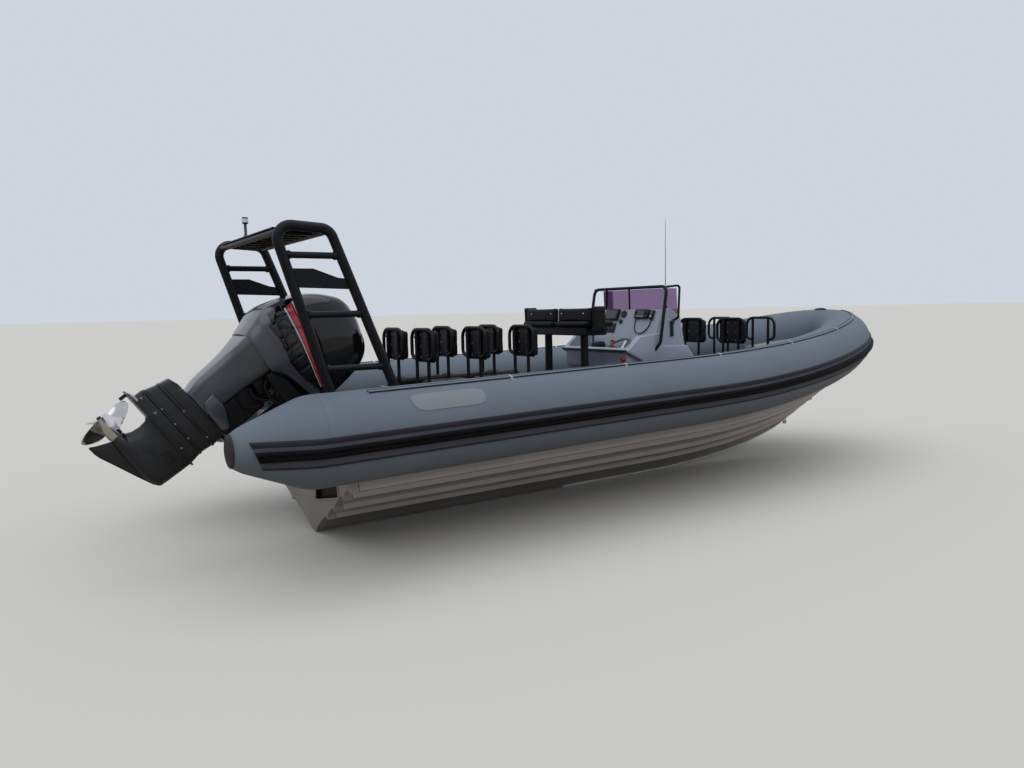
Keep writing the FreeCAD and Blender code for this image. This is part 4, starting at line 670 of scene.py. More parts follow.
# Stern and bow fittings: forged stainless eyes bolted through, and a low rubber lifting handle on the bow.
bright_steel = moulded("brushed_stainless", (0.52, 0.52, 0.53), 0.26, mottle=0.06, patch=20.0, grain=0.12,
                       grain_size=900.0, metallic=1.0)
coat_node(["bow_eye", "stern_eyes"], bright_steel)
handle_rubber = moulded("handle_rubber", (0.014, 0.014, 0.016), 0.5, mottle=0.15, patch=20.0, grain=0.3,
                        sheen=0.2)
HANDLE_HALF_SPAN = 0.075
bow_top = on_tube(tube_line[len(tube_line) // 2], 0.5 * math.pi, 0.0)
handle_rings = []
for step in range(25):
    share = 2.0 * step / 24 - 1.0
    rise = 0.0035 + 0.012 * math.sqrt(1.0 - share * share) - (0.003 if abs(share) == 1.0 else 0.0)
    middle = bow_top + Vector((-0.04 - 0.01 * share * share, HANDLE_HALF_SPAN * share, -0.004 * share * share))
    half = 0.02 * max(0.15, 1.0 - share ** 4)
    handle_rings.append([middle + Vector((half * math.cos(a), 0.0, 0.0012 + max(0.0, rise * math.sin(a))))
                         for a in circle(16)])
fitted("bow_handle", drawn(handle_rings), [handle_rubber], ["bow_cleat"], 50.0)

# Bead saddles: small stainless saddles screwed down over the shoulder strip, six on each side.
SADDLE_HALF = [(0.012, 0.0125), (0.019, 0.0115), (0.021, 0.0025), (0.029, 0.002), (0.03, 0.0)]
saddle_runs = []
for side in (-1, 1):
    for x in (0.97, 1.97, 2.97, 3.93, 4.8, 5.44):
        turned_by = math.degrees(math.asin(max(0.0, x - STRAIGHT_END) / BOW_LENGTH))
        if turned_by > 0.3:
            short = bow_stations(turned_by - 0.2, turned_by + 0.2, 0.2, side)
        else:
            short = straight_stations(x - 0.009, x + 0.009, 2, side)
        saddle_runs.append(bead_rings(short, both_ways(SADDLE_HALF)))
fitted("bead_saddles", drawn(*saddle_runs), [bright_steel])

# Deck: a sheet of closed-cell foam decking, glued down, with routed caulking lines along the boat.
deck_foam = moulded("deck_foam", (0.06, 0.062, 0.066), 0.82, patch=5.0, grain=0.8, grain_size=350.0, wear=0.15)
deck_tree = deck_foam.node_tree
planked = wired(deck_tree, "Mapping", {"Vector": wired(deck_tree, "TexCoord", {})["Object"],
                                       "Scale": (1.0, 16.0, 1.0)})
caulking = wired(deck_tree, "TexBrick", {"Vector": planked["Vector"], "Scale": 1.0, "Brick Width": 40.0,
                                         "Row Height": 1.0, "Mortar Size": 0.045, "Color1": (1.0, 1.0, 1.0),
                                         "Color2": (1.0, 1.0, 1.0), "Mortar": (0.35, 0.35, 0.36)}, offset=0.5)
tinted(deck_foam, 1.0, caulking["Color"], "MULTIPLY")
coat_node(["deck"], deck_foam)

# Name patch: a bare strip of paler fabric welded to the tube's quarter, its corners rounded and one end
# cut aslant.
patch_fabric = moulded("patch_fabric", (0.15, 0.164, 0.186), 0.5, mottle=0.05, patch=5.0, grain=0.25,
                       grain_size=700.0)
# columns: station, lowest and highest arc length above the outward line
PATCH_OUTLINE = [(0.2, 0.218, 0.222), (0.204, 0.196, 0.24), (0.214, 0.174, 0.253), (0.23, 0.156, 0.261),
                 (0.252, 0.145, 0.265), (0.28, 0.141, 0.266), (0.42, 0.141, 0.266), (0.6, 0.141, 0.266),
                 (0.636, 0.142, 0.265), (0.662, 0.148, 0.26), (0.682, 0.16, 0.25), (0.694, 0.176, 0.234),
                 (0.7, 0.198, 0.21)]
PATCH_THICK = 0.0012
patch_bm = bmesh.new()
for side in (-1, 1):
    rings = []
    for x, low, high in PATCH_OUTLINE:
        station = straight_stations(x, x, 1, side)[0]
        rings.append([on_tube(station, (low + (high - low) * share / 12.0) / TUBE_RADIUS, PATCH_THICK)
                      for share in range(13)])
    swept(patch_bm, rings, closed=False)
bmesh.ops.recalc_face_normals(patch_bm, faces=patch_bm.faces)
bmesh.ops.solidify(patch_bm, geom=patch_bm.faces[:], thickness=-PATCH_THICK)
fitted("tube_name_patch", patch_bm, [patch_fabric], crisp=60.0)

# Stern arch: welded alloy tube in black powder coat. Its hoops, rungs, side plates and roof plate are the
# solids.
black_coat = moulded("black_powder_coat", (0.0085, 0.0092, 0.012), 0.36, mottle=0.14, patch=6.0, grain=0.25,
                     grain_size=600.0, wear=0.1, worn=(0.032, 0.032, 0.037), sheen=0.14)
coat_node(["arch_side_starboard", "arch_side_port", "arch_cross_tubes", "arch_side_plates", "arch_roof_tray"],
          black_coat)

# Arch roof: pressed ribs run across the underside of the roof plate, and a channel stiffens its fore edge
# and its aft edge.
TO_PORT = Vector((0.0, 1.0, 0.0))
UPWARD = Vector((0.0, 0.0, 1.0))


def blocked(bm, low, high, ease=0.0, segments=3, turn=None, paint=0):
    """A block between two corners, its edges rounded, then turned and set down."""
    before = set(bm.faces)
    low, high = Vector(low), Vector(high)
    place = Matrix.Translation((low + high) * 0.5) @ Matrix.Diagonal((*(high - low), 1.0))
    made = bmesh.ops.create_cube(bm, size=1.0, matrix=place)["verts"]
    if ease:
        rounded(bm, {edge for vert in made for edge in vert.link_edges}, ease, segments)
    faces = set(bm.faces) - before
    for face in faces:
        face.material_index = paint
    if turn is not None:
        bmesh.ops.transform(bm, verts=list({vert for face in faces for vert in face.verts}), matrix=turn)


def rounded_route(points, bend, steps=7):
    """Places along straight runs whose corners are turned by arcs."""
    points = [Vector(point) for point in points]
    route = [points[0]]
    for before, corner, after in zip(points, points[1:], points[2:]):
        coming = (corner - before).normalized()
        going = (after - corner).normalized()
        half_turn = coming.angle(going) / 2.0
        if half_turn < 0.01:
            continue
        reach = min(bend * math.tan(half_turn), 0.49 * (corner - before).length, 0.49 * (after - corner).length)
        radius = reach / math.tan(half_turn)
        centre = corner + (going - coming).normalized() * (radius / math.cos(half_turn))
        start = corner - coming * reach - centre
        axis = coming.cross(going).normalized()
        for step in range(steps + 1):
            route.append(centre + Matrix.Rotation(2.0 * half_turn * step / steps, 3, axis) @ start)
    route.append(points[-1])
    return route


def piped(bm, route, radius, count=14, paint=0):
    """A round tube along a route, without twist; radius may be one number or one for each place."""
    radii = radius if isinstance(radius, list) else [radius] * len(route)
    normal = None
    rings = []
    for before, place, after, size in zip(route[:1] + route, route, route[1:] + route[-1:], radii):
        heading = (after - before).normalized()
        normal = normal or heading.orthogonal().normalized()
        normal = (normal - heading * normal.dot(heading)).normalized()
        side = heading.cross(normal)
        rings.append([place + (normal * math.cos(a) + side * math.sin(a)) * size for a in circle(count)])
    swept(bm, rings, capped=True, paint=paint)


def turned(bm, foot, axis, profile, count, paint=0):
    """A round body on an axis; profile is (height along the axis, radius)."""
    route = [foot + axis * height for height, radius in profile]
    piped(bm, route, [radius for height, radius in profile], count, paint)


tray_low, tray_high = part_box("arch_roof_tray")
roof_bm = bmesh.new()
for step in range(9):
    y = -0.56 + 0.14 * step
    blocked(roof_bm, (tray_low.x + 0.07, y - 0.011, tray_low.z - 0.02),
            (tray_high.x - 0.07, y + 0.011, tray_low.z + 0.006), 0.004)
for x in (tray_low.x + 0.012, tray_high.x - 0.012):
    blocked(roof_bm, (x - 0.009, tray_low.y + 0.004, tray_low.z - 0.016),
            (x + 0.009, tray_high.y - 0.004, tray_low.z + 0.003),
            0.003)
fitted("arch_roof_ribs", roof_bm, [black_coat])

# Arch clamps: split collars where the rungs meet the hoops, and the bolts of the feet.
# columns: the leg's foot and top, and the way its collars face
LEGS = [(Vector((0.056, 0.0, up(0.5324))), Vector((-0.412, 0.0, up(2.066))), 1.0),
        (Vector((0.536, 0.0, up(0.5324))), Vector((-0.062, 0.0, up(2.046))), -1.0)]
LEG_SPREAD = 0.712
COLLAR = [(0.0, 0.0255), (0.004, 0.0275), (0.016, 0.025), (0.02, 0.0208)]
FOOT_BOLT = [(0.0, 0.008), (0.006, 0.008), (0.008, 0.005)]
collar_bm = bmesh.new()
for side in (-1, 1):
    for drop in (0.181, 0.536, 0.871):
        z = up(2.066 - drop)
        for foot, top, facing in LEGS:
            leg = foot.lerp(top, (z - foot.z) / (top.z - foot.z))
            start = Vector((leg.x + facing * 0.03, side * LEG_SPREAD, z))
            turned(collar_bm, start, Vector((facing, 0.0, 0.0)), COLLAR, 20)
    for foot, top, facing in LEGS:
        for dx, y in ((-0.032, 0.725), (0.032, 0.735), (0.032, 0.71)):
            turned(collar_bm, Vector((foot.x + dx, side * y, up(0.5809))), UPWARD, FOOT_BOLT, 6)
fitted("arch_collars", collar_bm, [black_coat])

# All-round light: a black base and stem with a clear lens between two caps.
lamp_low, lamp_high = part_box("nav_light")
lamp_foot = Vector(((lamp_low.x + lamp_high.x) / 2.0, (lamp_low.y + lamp_high.y) / 2.0, lamp_low.z))
# columns: height, radius
LAMP_PROFILE = [(0.0, 0.017), (0.004, 0.0168), (0.01, 0.012), (0.014, 0.009), (0.084, 0.009), (0.088, 0.017),
                (0.091, 0.0205), (0.095, 0.021), (0.0955, 0.019), (0.11, 0.0198), (0.122, 0.019),
                (0.1225, 0.021), (0.127, 0.0208), (0.13, 0.017), (0.1318, 0.008), (0.132, 0.0)]
lamp_bm = bmesh.new()
lathed(lamp_bm, [lamp_foot + Vector((r, 0.0, z)) for z, r in LAMP_PROFILE], lamp_foot, UPWARD, 28)
for face in lamp_bm.faces:
    face.material_index = int(0.0955 < face.calc_center_median().z - lamp_foot.z < 0.1222)
lamp_lens = moulded("lamp_lens", (0.72, 0.74, 0.76), 0.12, mottle=0.04, patch=30.0, coat=0.6)
lamp_lens.node_tree.nodes["Principled BSDF"].inputs["Transmission Weight"].default_value = 0.5
lamp_case = moulded("lamp_case", (0.016, 0.016, 0.018), 0.4, mottle=0.12, patch=20.0, grain=0.2)
fitted("all_round_light", lamp_bm, [lamp_case, lamp_lens], ["nav_light"])

# Seat pods: two long glass-fibre boxes down the boat and two shorter ones ahead of the console, with rolled
# edges, a lid line and inspection hatches let into their sides.
pod_gelcoat = moulded("pod_gelcoat", (0.02, 0.021, 0.025), 0.36, mottle=0.12, patch=4.0, grain=0.06,
                      grain_size=90.0, coat=0.2, wear=0.08)
# columns: aft end, fore end
PODS = [(0.705, 1.895), (3.755, 4.58)]
# columns: how far inside the ends, half breadth, lowest and highest height, rounding
POD_LAYERS = [(0.012, 0.138, 0.5735, 0.63, 0.006), (0.0, 0.15, 0.62, 0.925, 0.016),
              (-0.002, 0.152, 0.93, 0.96, 0.012), (0.004, 0.146, 0.9, 0.945, 0.0)]
HANDS = ((-1, "starboard"), (1, "port"))
SEAT_LINE = 0.25
POD_TOP = 0.96
pod_bm = bmesh.new()
for start, end in PODS:
    for side, hand in HANDS:
        y = side * SEAT_LINE
        for inside, half, low, high, ease in POD_LAYERS:
            blocked(pod_bm, (start + inside, y - half, up(low)), (end - inside, y + half, up(high)), ease)
        hatches = max(1, round((end - start) / 0.45))
        for hatch in range(hatches):
            x = start + (hatch + 0.5) * (end - start) / hatches
            for face_y in (y - 0.15, y + 0.15):
                blocked(pod_bm, (x - 0.13, face_y - 0.004, up(0.68)), (x + 0.13, face_y + 0.004, up(0.86)),
                        0.0035)
fitted("seat_pod_mouldings", pod_bm, [pod_gelcoat], ["seat_pods"], 36.0)

# Backrest hoops: bent tube in black powder coat. Two posts stand on the pod; outside each, a loop runs from
# the top bar round and back into the post, as a hand hold.
HOOP_ROWS = [0.775, 1.21, 1.645, 4.085, 4.52]
HOOP_TOP = 1.406
HOOP_LOW = 1.19
POST = 0.092
POST_FOOT = [(0.0, 0.026), (0.004, 0.026), (0.0045, 0.013), (HOOP_TOP - POD_TOP - 0.001, 0.013)]
LOOP_HALF = [(0.167, HOOP_TOP), (0.167, HOOP_LOW + 0.012), (POST, HOOP_LOW)]


def seats(rows):
    """Each seat of some rows: its station, its middle line and its hand."""
    return [(x, side * SEAT_LINE, hand) for x in rows for side, hand in HANDS]


hoop_bm = bmesh.new()
for x, y, hand in seats(HOOP_ROWS):
    piped(hoop_bm, rounded_route([(x, y + across, up(h)) for across, h in both_ways(LOOP_HALF)], 0.078), 0.013)
    for post in (-POST, POST):
        turned(hoop_bm, Vector((x, y + post, up(POD_TOP + 0.001))), UPWARD, POST_FOOT, 14)
fitted("backrest_hoop_tubes", hoop_bm, [black_coat], ["backrest_hoops"], 45.0)


# Soft goods: a sewn vinyl cover drawn over foam. Each size is swollen once by the cloth solver, then set down
# on every seat that has it.
def stuffed(key, low, high, ease, swell, voxel=0.0085):
    """A block whose cover is blown out by its filling, capped so that it stays in the space of its solid."""
    bm = bmesh.new()
    blocked(bm, low, high, ease, 4)
    blank = placed(key, bm)
    remesh = blank.modifiers.new("even", "REMESH")
    remesh.mode = "VOXEL"
    remesh.voxel_size = voxel
    even = shaped(blank)
    blank.modifiers.clear()
    blank.data = even
    rest_places = [vert.co.copy() for vert in even.vertices]
    cover = blank.modifiers.new("cover", "CLOTH").settings
    cover.use_pressure = True
    cover.uniform_pressure_force = 4.0
    cover.effector_weights.gravity = 0.0
    cover.quality = 5
    cover.tension_stiffness = 15.0
    cover.compression_stiffness = 15.0
    cover.shear_stiffness = 8.0
    cover.bending_stiffness = 2.0
    for number in range(1, 13):
        bpy.context.scene.frame_set(number)
    swollen = shaped(blank)
    for vert, was in zip(swollen.vertices, rest_places):
        shift = vert.co - was
        vert.co = was + shift * min(1.0, swell / max(shift.length, 1e-9))
    blank.modifiers.clear()
    blank.data = swollen
    bpy.context.scene.frame_set(1)
    made = blank.data
    bpy.data.objects.remove(blank)
    return made


def set_down(name, pillow, place, stands_for):
    """One cushion of a size, with its cover's smooth skin."""
    own = pillow.copy()
    own.name = name
    own.transform(Matrix.Translation(place))
    own.materials.clear()
    own.materials.append(vinyl)
    own.shade_smooth()
    piece = bpy.data.objects.new(name, own)
    bpy.context.collection.objects.link(piece)
    skin = piece.modifiers.new("skin", "SUBSURF")
    skin.levels = 1
    skin.render_levels = 1
    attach(piece, "boat")
    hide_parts(stands_for)


vinyl = moulded("seat_vinyl", (0.006, 0.0058, 0.0078), 0.46, patch=8.0, grain=0.55, grain_size=520.0,
                sheen=0.15, wear=0.1, worn=(0.028, 0.028, 0.031))
CUSHION_BASE = 0.0005
# columns: size, length, aft ends of the cushions of that size
CUSHIONS = [("cushion_long", 0.367, (0.809, 1.244, 4.119)), ("cushion_short", 0.206, (1.679,)),
            ("cushion_bow", 0.286, (3.765,))]
for key, length, starts in CUSHIONS:
    pillow = stuffed(key, (0.006, -0.134, 0.004), (length - 0.006, 0.134, 0.062), 0.018, 0.007)
    for x, y, hand in seats(starts):
        name = "seat_cushion_%04d_%s" % (round(x * 1000), hand)
        set_down(name, pillow, (x, y, up(POD_TOP) + CUSHION_BASE), "seat_cushions")
PADDED_ROWS = HOOP_ROWS[:-1]
pillow = stuffed("backrest_pad", (0.01, -0.144, -0.108), (0.056, 0.144, 0.11), 0.02, 0.006, 0.008)
for x, y, hand in seats(PADDED_ROWS):
    name = "backrest_pad_%04d_%s" % (round(x * 1000), hand)
    set_down(name, pillow, (x + 0.014, y, up(1.282)), "backrest_pads")

# Pad shells: each backrest pad is screwed to a moulded back shell, which shows behind the posts with its
# rivets.
shell_plastic = moulded("back_shell", (0.007, 0.0068, 0.0088), 0.42, mottle=0.12, patch=10.0, grain=0.4,
                        grain_size=420.0, sheen=0.2)
dull_steel = moulded("dull_steel", (0.2, 0.2, 0.21), 0.42, metallic=1.0, mottle=0.15, patch=40.0)
RIVET = [(0.0, 0.0062), (0.0022, 0.0052), (0.0034, 0.0022)]
AFTWARD = Vector((-1.0, 0.0, 0.0))
shell_bm = bmesh.new()
rivet_bm = bmesh.new()
for x, y, hand in seats(PADDED_ROWS):
    blocked(shell_bm, (x + 0.0132, y - 0.149, up(1.168)), (x + 0.024, y + 0.149, up(1.397)), 0.0045)
    for clip_y in (y - POST, y + POST):
        for clip_z in (up(1.215), up(1.35)):
            blocked(shell_bm, (x - 0.0135, clip_y - 0.016, clip_z - 0.009),
                    (x + 0.0135, clip_y + 0.016, clip_z + 0.009),
                    0.004)
    for rivet_y in (y - 0.05, y + 0.05):
        for height in (1.2, 1.282, 1.364):
            turned(rivet_bm, Vector((x + 0.0132, rivet_y, up(height))), AFTWARD, RIVET, 12)
fitted("backrest_shells", shell_bm, [shell_plastic])
fitted("backrest_rivets", rivet_bm, [dull_steel], crisp=50.0)

# Helm seat: two thin squabs side by side on a boxed beam, with a low padded back along their aft edge and a
# padded wing at each end; the beam stands on two posts.
HELM_BACK = 2.178
# columns: size, low corner, high corner, rounding, swell, voxel, place of the port one, solids it stands for
HELM_PADS = [("helm_squab", (0.006, -0.2165, 0.004), (0.312, 0.2165, 0.038), 0.012, 0.006, 0.0085,
              (HELM_BACK - 0.048, 0.2325, 1.3863), "helm_squabs"),
             ("helm_back", (0.006, -0.2165, -0.008), (0.046, 0.2165, 0.109), 0.012, 0.005, 0.0085,
              (HELM_BACK, 0.2325, 1.4305), "helm_back_panels"),
             ("helm_wing", (0.004, -0.0155, 0.006), (0.134, 0.0155, 0.22), 0.01, 0.004, 0.0075,
              (HELM_BACK + 0.002, 0.4755, 1.33), "helm_bolsters")]
coat_node(["helm_seat_frame"], black_coat)
helm_pillows = [stuffed(*row[:6]) for row in HELM_PADS]
for side, hand in HANDS:
    for pillow, row in zip(helm_pillows, HELM_PADS):
        x, y, height = row[6]
        set_down(row[0] + "_" + hand, pillow, (x, side * y, up(height)), row[7])
PANEL_BOLT = [(0.0, 0.0065), (0.003, 0.0055), (0.0045, 0.002)]
bolt_bm = bmesh.new()
for y in (-0.365, -0.075, 0.075, 0.365):
    turned(bolt_bm, Vector((HELM_BACK + 0.001, y, up(1.492))), AFTWARD, PANEL_BOLT, 12)
fitted("helm_back_bolts", bolt_bm, [bright_steel], crisp=50.0)

# Console: a moulded tub with a recess round the wheel, and on it the pod with the sloping dash. Both are
# glass-fibre in a paler grey than the tube, with rolled corners.
console_gelcoat = moulded("console_gelcoat", (0.27, 0.288, 0.358), 0.4, mottle=0.06, patch=2.5, grain=0.05,
                          grain_size=80.0, coat=0.25, wear=0.1, worn=(0.27, 0.28, 0.31))


def extruded(profile, half, ease=0.0):
    """A block of a side profile, (station, height above the keel), as wide as twice its half breadth."""
    outline = [(x, -half, up(height)) for x, height in profile]
    return slab(bmesh.new(), outline, (0.0, 2.0 * half, 0.0), ease, 4, 0.25)


console_pod = extruded([(2.846, 1.1005), (3.004, 1.515), (3.104, 1.521), (3.222, 1.442), (3.292, 1.11),
                        (3.33, 1.1005)], 0.428, 0.022)
fitted("console_pod", console_pod, [console_gelcoat], ["console"], 36.0)
tub = extruded([(2.752, 0.573), (2.752, 1.08), (2.578, 1.158), (2.578, 1.182), (2.608, 1.19), (2.722, 1.29),
                (2.96, 1.312), (3.01, 1.2), (3.29, 1.192), (3.372, 1.1), (3.404, 0.573)], 0.45, 0.014)
recess = extruded([(2.61, 1.005), (2.61, 1.4), (2.8475, 1.4), (2.826, 1.005)], 0.398, 0.03)
pod_room = extruded([(2.786, 1.0999), (2.786, 1.4), (3.39, 1.4), (3.39, 1.0999)], 0.4285)
well = extruded([(2.756, 0.988), (2.64, 0.99), (2.606, 1.026), (2.6, 1.15), (2.756, 1.086)], 0.412, 0.006)
well_room = extruded([(2.6105, 1.036), (2.6105, 1.3), (2.9, 1.3), (2.9, 1.002), (2.644, 1.002)], 0.398)
fitted("console_wheel_well", carved(well, [well_room]), [console_gelcoat], crisp=36.0)
fitted("console_tub", carved(tub, [recess, pod_room]), [console_gelcoat], ["console_base"], 36.0)

# Console trim: the rubber edging on the tub's aft lip, the side door with its latch, and screws along the
# joint.
trim_rubber = moulded("trim_rubber", (0.016, 0.016, 0.018), 0.5, mottle=0.15, patch=20.0, grain=0.3,
                      sheen=0.2)
SIDE_SCREWS = [(2.985, 1.42), (3.08, 1.42), (3.17, 1.38), (2.93, 1.26), (3.2, 1.18), (3.06, 1.14)]
SCREW = [(0.0, 0.0065), (0.0022, 0.0055), (0.0032, 0.002)]
trim_bm = bmesh.new()
screw_bm = bmesh.new()
for side in (-1, 1):
    door, latch = side * 0.4515, side * 0.454
    blocked(trim_bm, (2.86, door - 0.0025, up(0.66)), (3.25, door + 0.0025, up(1.04)), 0.002)
    blocked(trim_bm, (2.88, latch - 0.0035, up(0.82)), (2.912, latch + 0.0035, up(0.88)), 0.003)
    for x, height in SIDE_SCREWS:
        turned(screw_bm, Vector((x, side * 0.4275, up(height))), TO_PORT * side, SCREW, 10)
fitted("console_side_doors", trim_bm, [console_gelcoat])
edging_bm = bmesh.new()
piped(edging_bm, [Vector((2.5735, y, up(1.17))) for y in (-0.435, 0.435)], 0.0085)
fitted("tub_lip_edging", edging_bm, [trim_rubber], crisp=50.0)
fitted("console_screws", screw_bm, [bright_steel], crisp=50.0)

# Windscreen: one sheet of tinted acrylic heat-bent round both sides, held in the tube frame. The whip antenna
# stands beside it.
screen_acrylic, screen_tree, screen_shader = shaded("tinted_acrylic")
screen_place = wired(screen_tree, "TexCoord", {})["Object"]
screen_noise = wired(screen_tree, "TexNoise", {"Vector": screen_place, "Scale": 3.0})
screen_tint = wired(screen_tree, "Mix", {"Factor": screen_noise["Fac"], "A": (0.25, 0.165, 0.275),
                                         "B": (0.3, 0.205, 0.325)}, data_type="RGBA")
filled(screen_tree, screen_shader, {"Transmission Weight": 1.0, "Roughness": 0.03, "IOR": 1.12,
                                    "Base Color": screen_tint["Result"]})
SCREEN_HALF = 0.424
SCREEN_BACK = 0.15
SCREEN_BEND = 0.07
SCREEN_THICK = 0.0055


def screen_line(x, inset, side):
    """Plan of one face of the screen, set in from its outer face: straight ahead, bent round each side."""
    bend = SCREEN_BEND - inset
    line = [(x + SCREEN_BACK, inset - SCREEN_HALF)]
    for step in range(9):
        turn = 0.5 * math.pi * step / 8
        line.append((x + inset + bend * (1.0 - math.sin(turn)),
                     inset - SCREEN_HALF + bend * (1.0 - math.cos(turn))))
    line += [(px, -py) for px, py in reversed(line)]
    return [(px, side * py) for px, py in line]


screen_rings = [[Vector((px, py, up(height)))
                 for px, py in screen_line(x, 0.0, 1) + screen_line(x, SCREEN_THICK, -1)]
                for x, height in ((3.04, 1.47), (3.034, 1.58), (3.028, 1.6925))]
fitted("wrapped_screen", drawn(screen_rings), [screen_acrylic], ["windscreen"], 50.0)
coat_node(["screen_frame"], black_coat)
coat_node(["antenna"], moulded("antenna_finish", (0.3, 0.3, 0.31), 0.45, mottle=0.05, patch=20.0))

# Instruments: plotter, gauges and radio in black cases let into the dash, with glass faces.
case_plastic = moulded("case_plastic", (0.008, 0.008, 0.01), 0.38, mottle=0.12, patch=20.0, grain=0.35,
                       grain_size=600.0, sheen=0.3)
glass_face = moulded("display_glass", (0.012, 0.016, 0.022), 0.06, mottle=0.2, patch=14.0, coat=0.5)
pale_key = moulded("pale_keys", (0.42, 0.44, 0.46), 0.45, mottle=0.06, patch=40.0)
DASH_TURN = Matrix((DASH_UP, TO_PORT, DASH_OUT)).transposed()
if DASH_TURN.determinant() < 0.0:
    DASH_TURN = Matrix((-DASH_UP, TO_PORT, DASH_OUT)).transposed()
KNOB = [(-0.002, 1.0), (0.01, 0.92), (0.012, 0.75)]


def dash_place(share, across):
    """Turns a piece drawn flat, its height along X and its breadth along Y, onto the dash."""
    return Matrix.Translation(on_dash(share, across, 0.0005)) @ DASH_TURN.to_4x4()


def cased(name, node, share, across, size, window, keys, knobs=()):
    """A boxed instrument with a sunk window, keys and knobs, all (height, breadth) from its middle."""
    bm = bmesh.new()
    place = dash_place(share, across)
    tall, wide, deep = size
    low, high = window
    blocked(bm, (-tall / 2, -wide / 2, 0.0), (tall / 2, wide / 2, deep), 0.006, 3, place)
    blocked(bm, (*low, deep - 0.001), (*high, deep + 0.0012), 0.0008, 1, place, 1)
    for x, y, long, broad in keys:
        blocked(bm, (x - long / 2, y - broad / 2, deep - 0.002), (x + long / 2, y + broad / 2, deep + 0.003),
                0.0015, 2, place, 2)
    for x, y, radius in knobs:
        axis = place.to_3x3() @ UPWARD
        turned(bm, place @ Vector((x, y, deep)), axis, [(height, radius * r) for height, r in KNOB], 20)
    fitted(name, bm, [case_plastic, glass_face, pale_key], [node])


plotter_keys = [(0.03, 0.072, 0.012, 0.02), (0.012, 0.072, 0.012, 0.02), (-0.006, 0.072, 0.012, 0.02),
                (-0.028, 0.072, 0.02, 0.02)]
radio_keys = [(-0.026, y, 0.009, 0.016) for y in (-0.03, -0.008, 0.014, 0.036)]
cased("plotter_case", "chart_plotter", 0.88, 0.198, (0.104, 0.196, 0.032), ((-0.04, -0.086), (0.04, 0.05)),
      plotter_keys)
cased("radio_case", "radio", 0.89, -0.205, (0.082, 0.168, 0.028), ((-0.012, -0.034), (0.028, 0.046)),
      radio_keys, [(0.01, -0.06, 0.014), (0.01, 0.066, 0.01)])
cased("hand_microphone", "radio_microphone", 0.87, -0.33, (0.084, 0.046, 0.024),
      ((0.004, -0.014), (0.032, 0.014)), [(-0.016, 0.0, 0.014, 0.02)])
# columns: height off the dash, share of the gauge's radius
GAUGE_CASE = [(0.0, 1.0), (0.0085, 1.0), (0.0125, 0.95), (0.013, 0.86)]
GAUGE_GLASS = [(0.0118, 0.87), (0.0123, 0.8)]
gauge_bm = bmesh.new()
for share, across, radius in ((0.9, 0.042, 0.034), (0.74, 0.058, 0.02)):
    foot = on_dash(share, across, 0.0005)
    for paint, profile in enumerate((GAUGE_CASE, GAUGE_GLASS)):
        turned(gauge_bm, foot, DASH_OUT, [(height, radius * r) for height, r in profile], 32, paint)
fitted("round_gauges", gauge_bm, [case_plastic, glass_face], ["dash_gauges"])

# Switch panel and key switch low on the dash, and the handset holder on the console's starboard side.
KEY_SWITCH = [(0.0, 0.02), (0.006, 0.02), (0.01, 0.014)]
switch_bm = bmesh.new()
place = dash_place(0.6, 0.2)
blocked(switch_bm, (-0.045, -0.09, 0.0), (0.045, 0.09, 0.005), 0.002, 2, place)
for row in (-0.02, 0.02):
    for y in (-0.066, -0.022, 0.022, 0.066):
        blocked(switch_bm, (row - 0.012, y - 0.009, 0.004), (row + 0.012, y + 0.009, 0.01), 0.002, 2, place)
turned(switch_bm, on_dash(0.3, -0.33, 0.0), DASH_OUT, KEY_SWITCH, 24)
fitted("switch_panel", switch_bm, [case_plastic])
handset_bm = bmesh.new()
blocked(handset_bm, (3.094, -0.444, up(1.275)), (3.126, -0.4285, up(1.405)), 0.007)
blocked(handset_bm, (3.09, -0.45, up(1.38)), (3.13, -0.43, up(1.412)), 0.006)
fitted("side_handset", handset_bm, [case_plastic])

# Steering wheel: padded rim on three flat stainless spokes and a capped hub; it turns with its own body.
WHEEL_HUB = Vector((2.742, -0.12, 0.702))
WHEEL_LEAN = math.radians(50.0)
WHEEL_AXIS = Vector((-math.cos(WHEEL_LEAN), 0.0, math.sin(WHEEL_LEAN)))
WHEEL_UP = TO_PORT.cross(WHEEL_AXIS)
WHEEL_RADIUS = 0.16
GRIP_RADIUS = 0.0118
# columns: distance from the axis, height along it, half breadth
SPOKE = [(0.016, -0.0235, 0.016), (0.045, -0.0225, 0.013), (0.1, -0.0135, 0.011), (0.152, 0.0005, 0.0125)]
SPOKE_SECTION = [(-1.0, -0.0035), (-0.8, 0.0), (0.8, 0.0), (1.0, -0.0035), (0.8, -0.007), (-0.8, -0.007)]
HUB_CAP = [(-0.066, 0.011), (-0.044, 0.012), (-0.04, 0.034), (-0.02, 0.036), (-0.014, 0.033), (-0.011, 0.024),
           (-0.0105, 0.006)]
BOSS = [(-0.18, 0.044), (-0.11, 0.042), (-0.08, 0.041), (-0.0665, 0.036), (-0.0662, 0.012)]


def on_wheel(turn, reach, along, aside=0.0):
    """A point of the wheel: angle from its upper spoke, distance from the axis, height along it, offset."""
    outward = WHEEL_UP * math.cos(turn) + TO_PORT * math.sin(turn)
    tangent = TO_PORT * math.cos(turn) - WHEEL_UP * math.sin(turn)
    return WHEEL_HUB + outward * reach + tangent * aside + WHEEL_AXIS * along


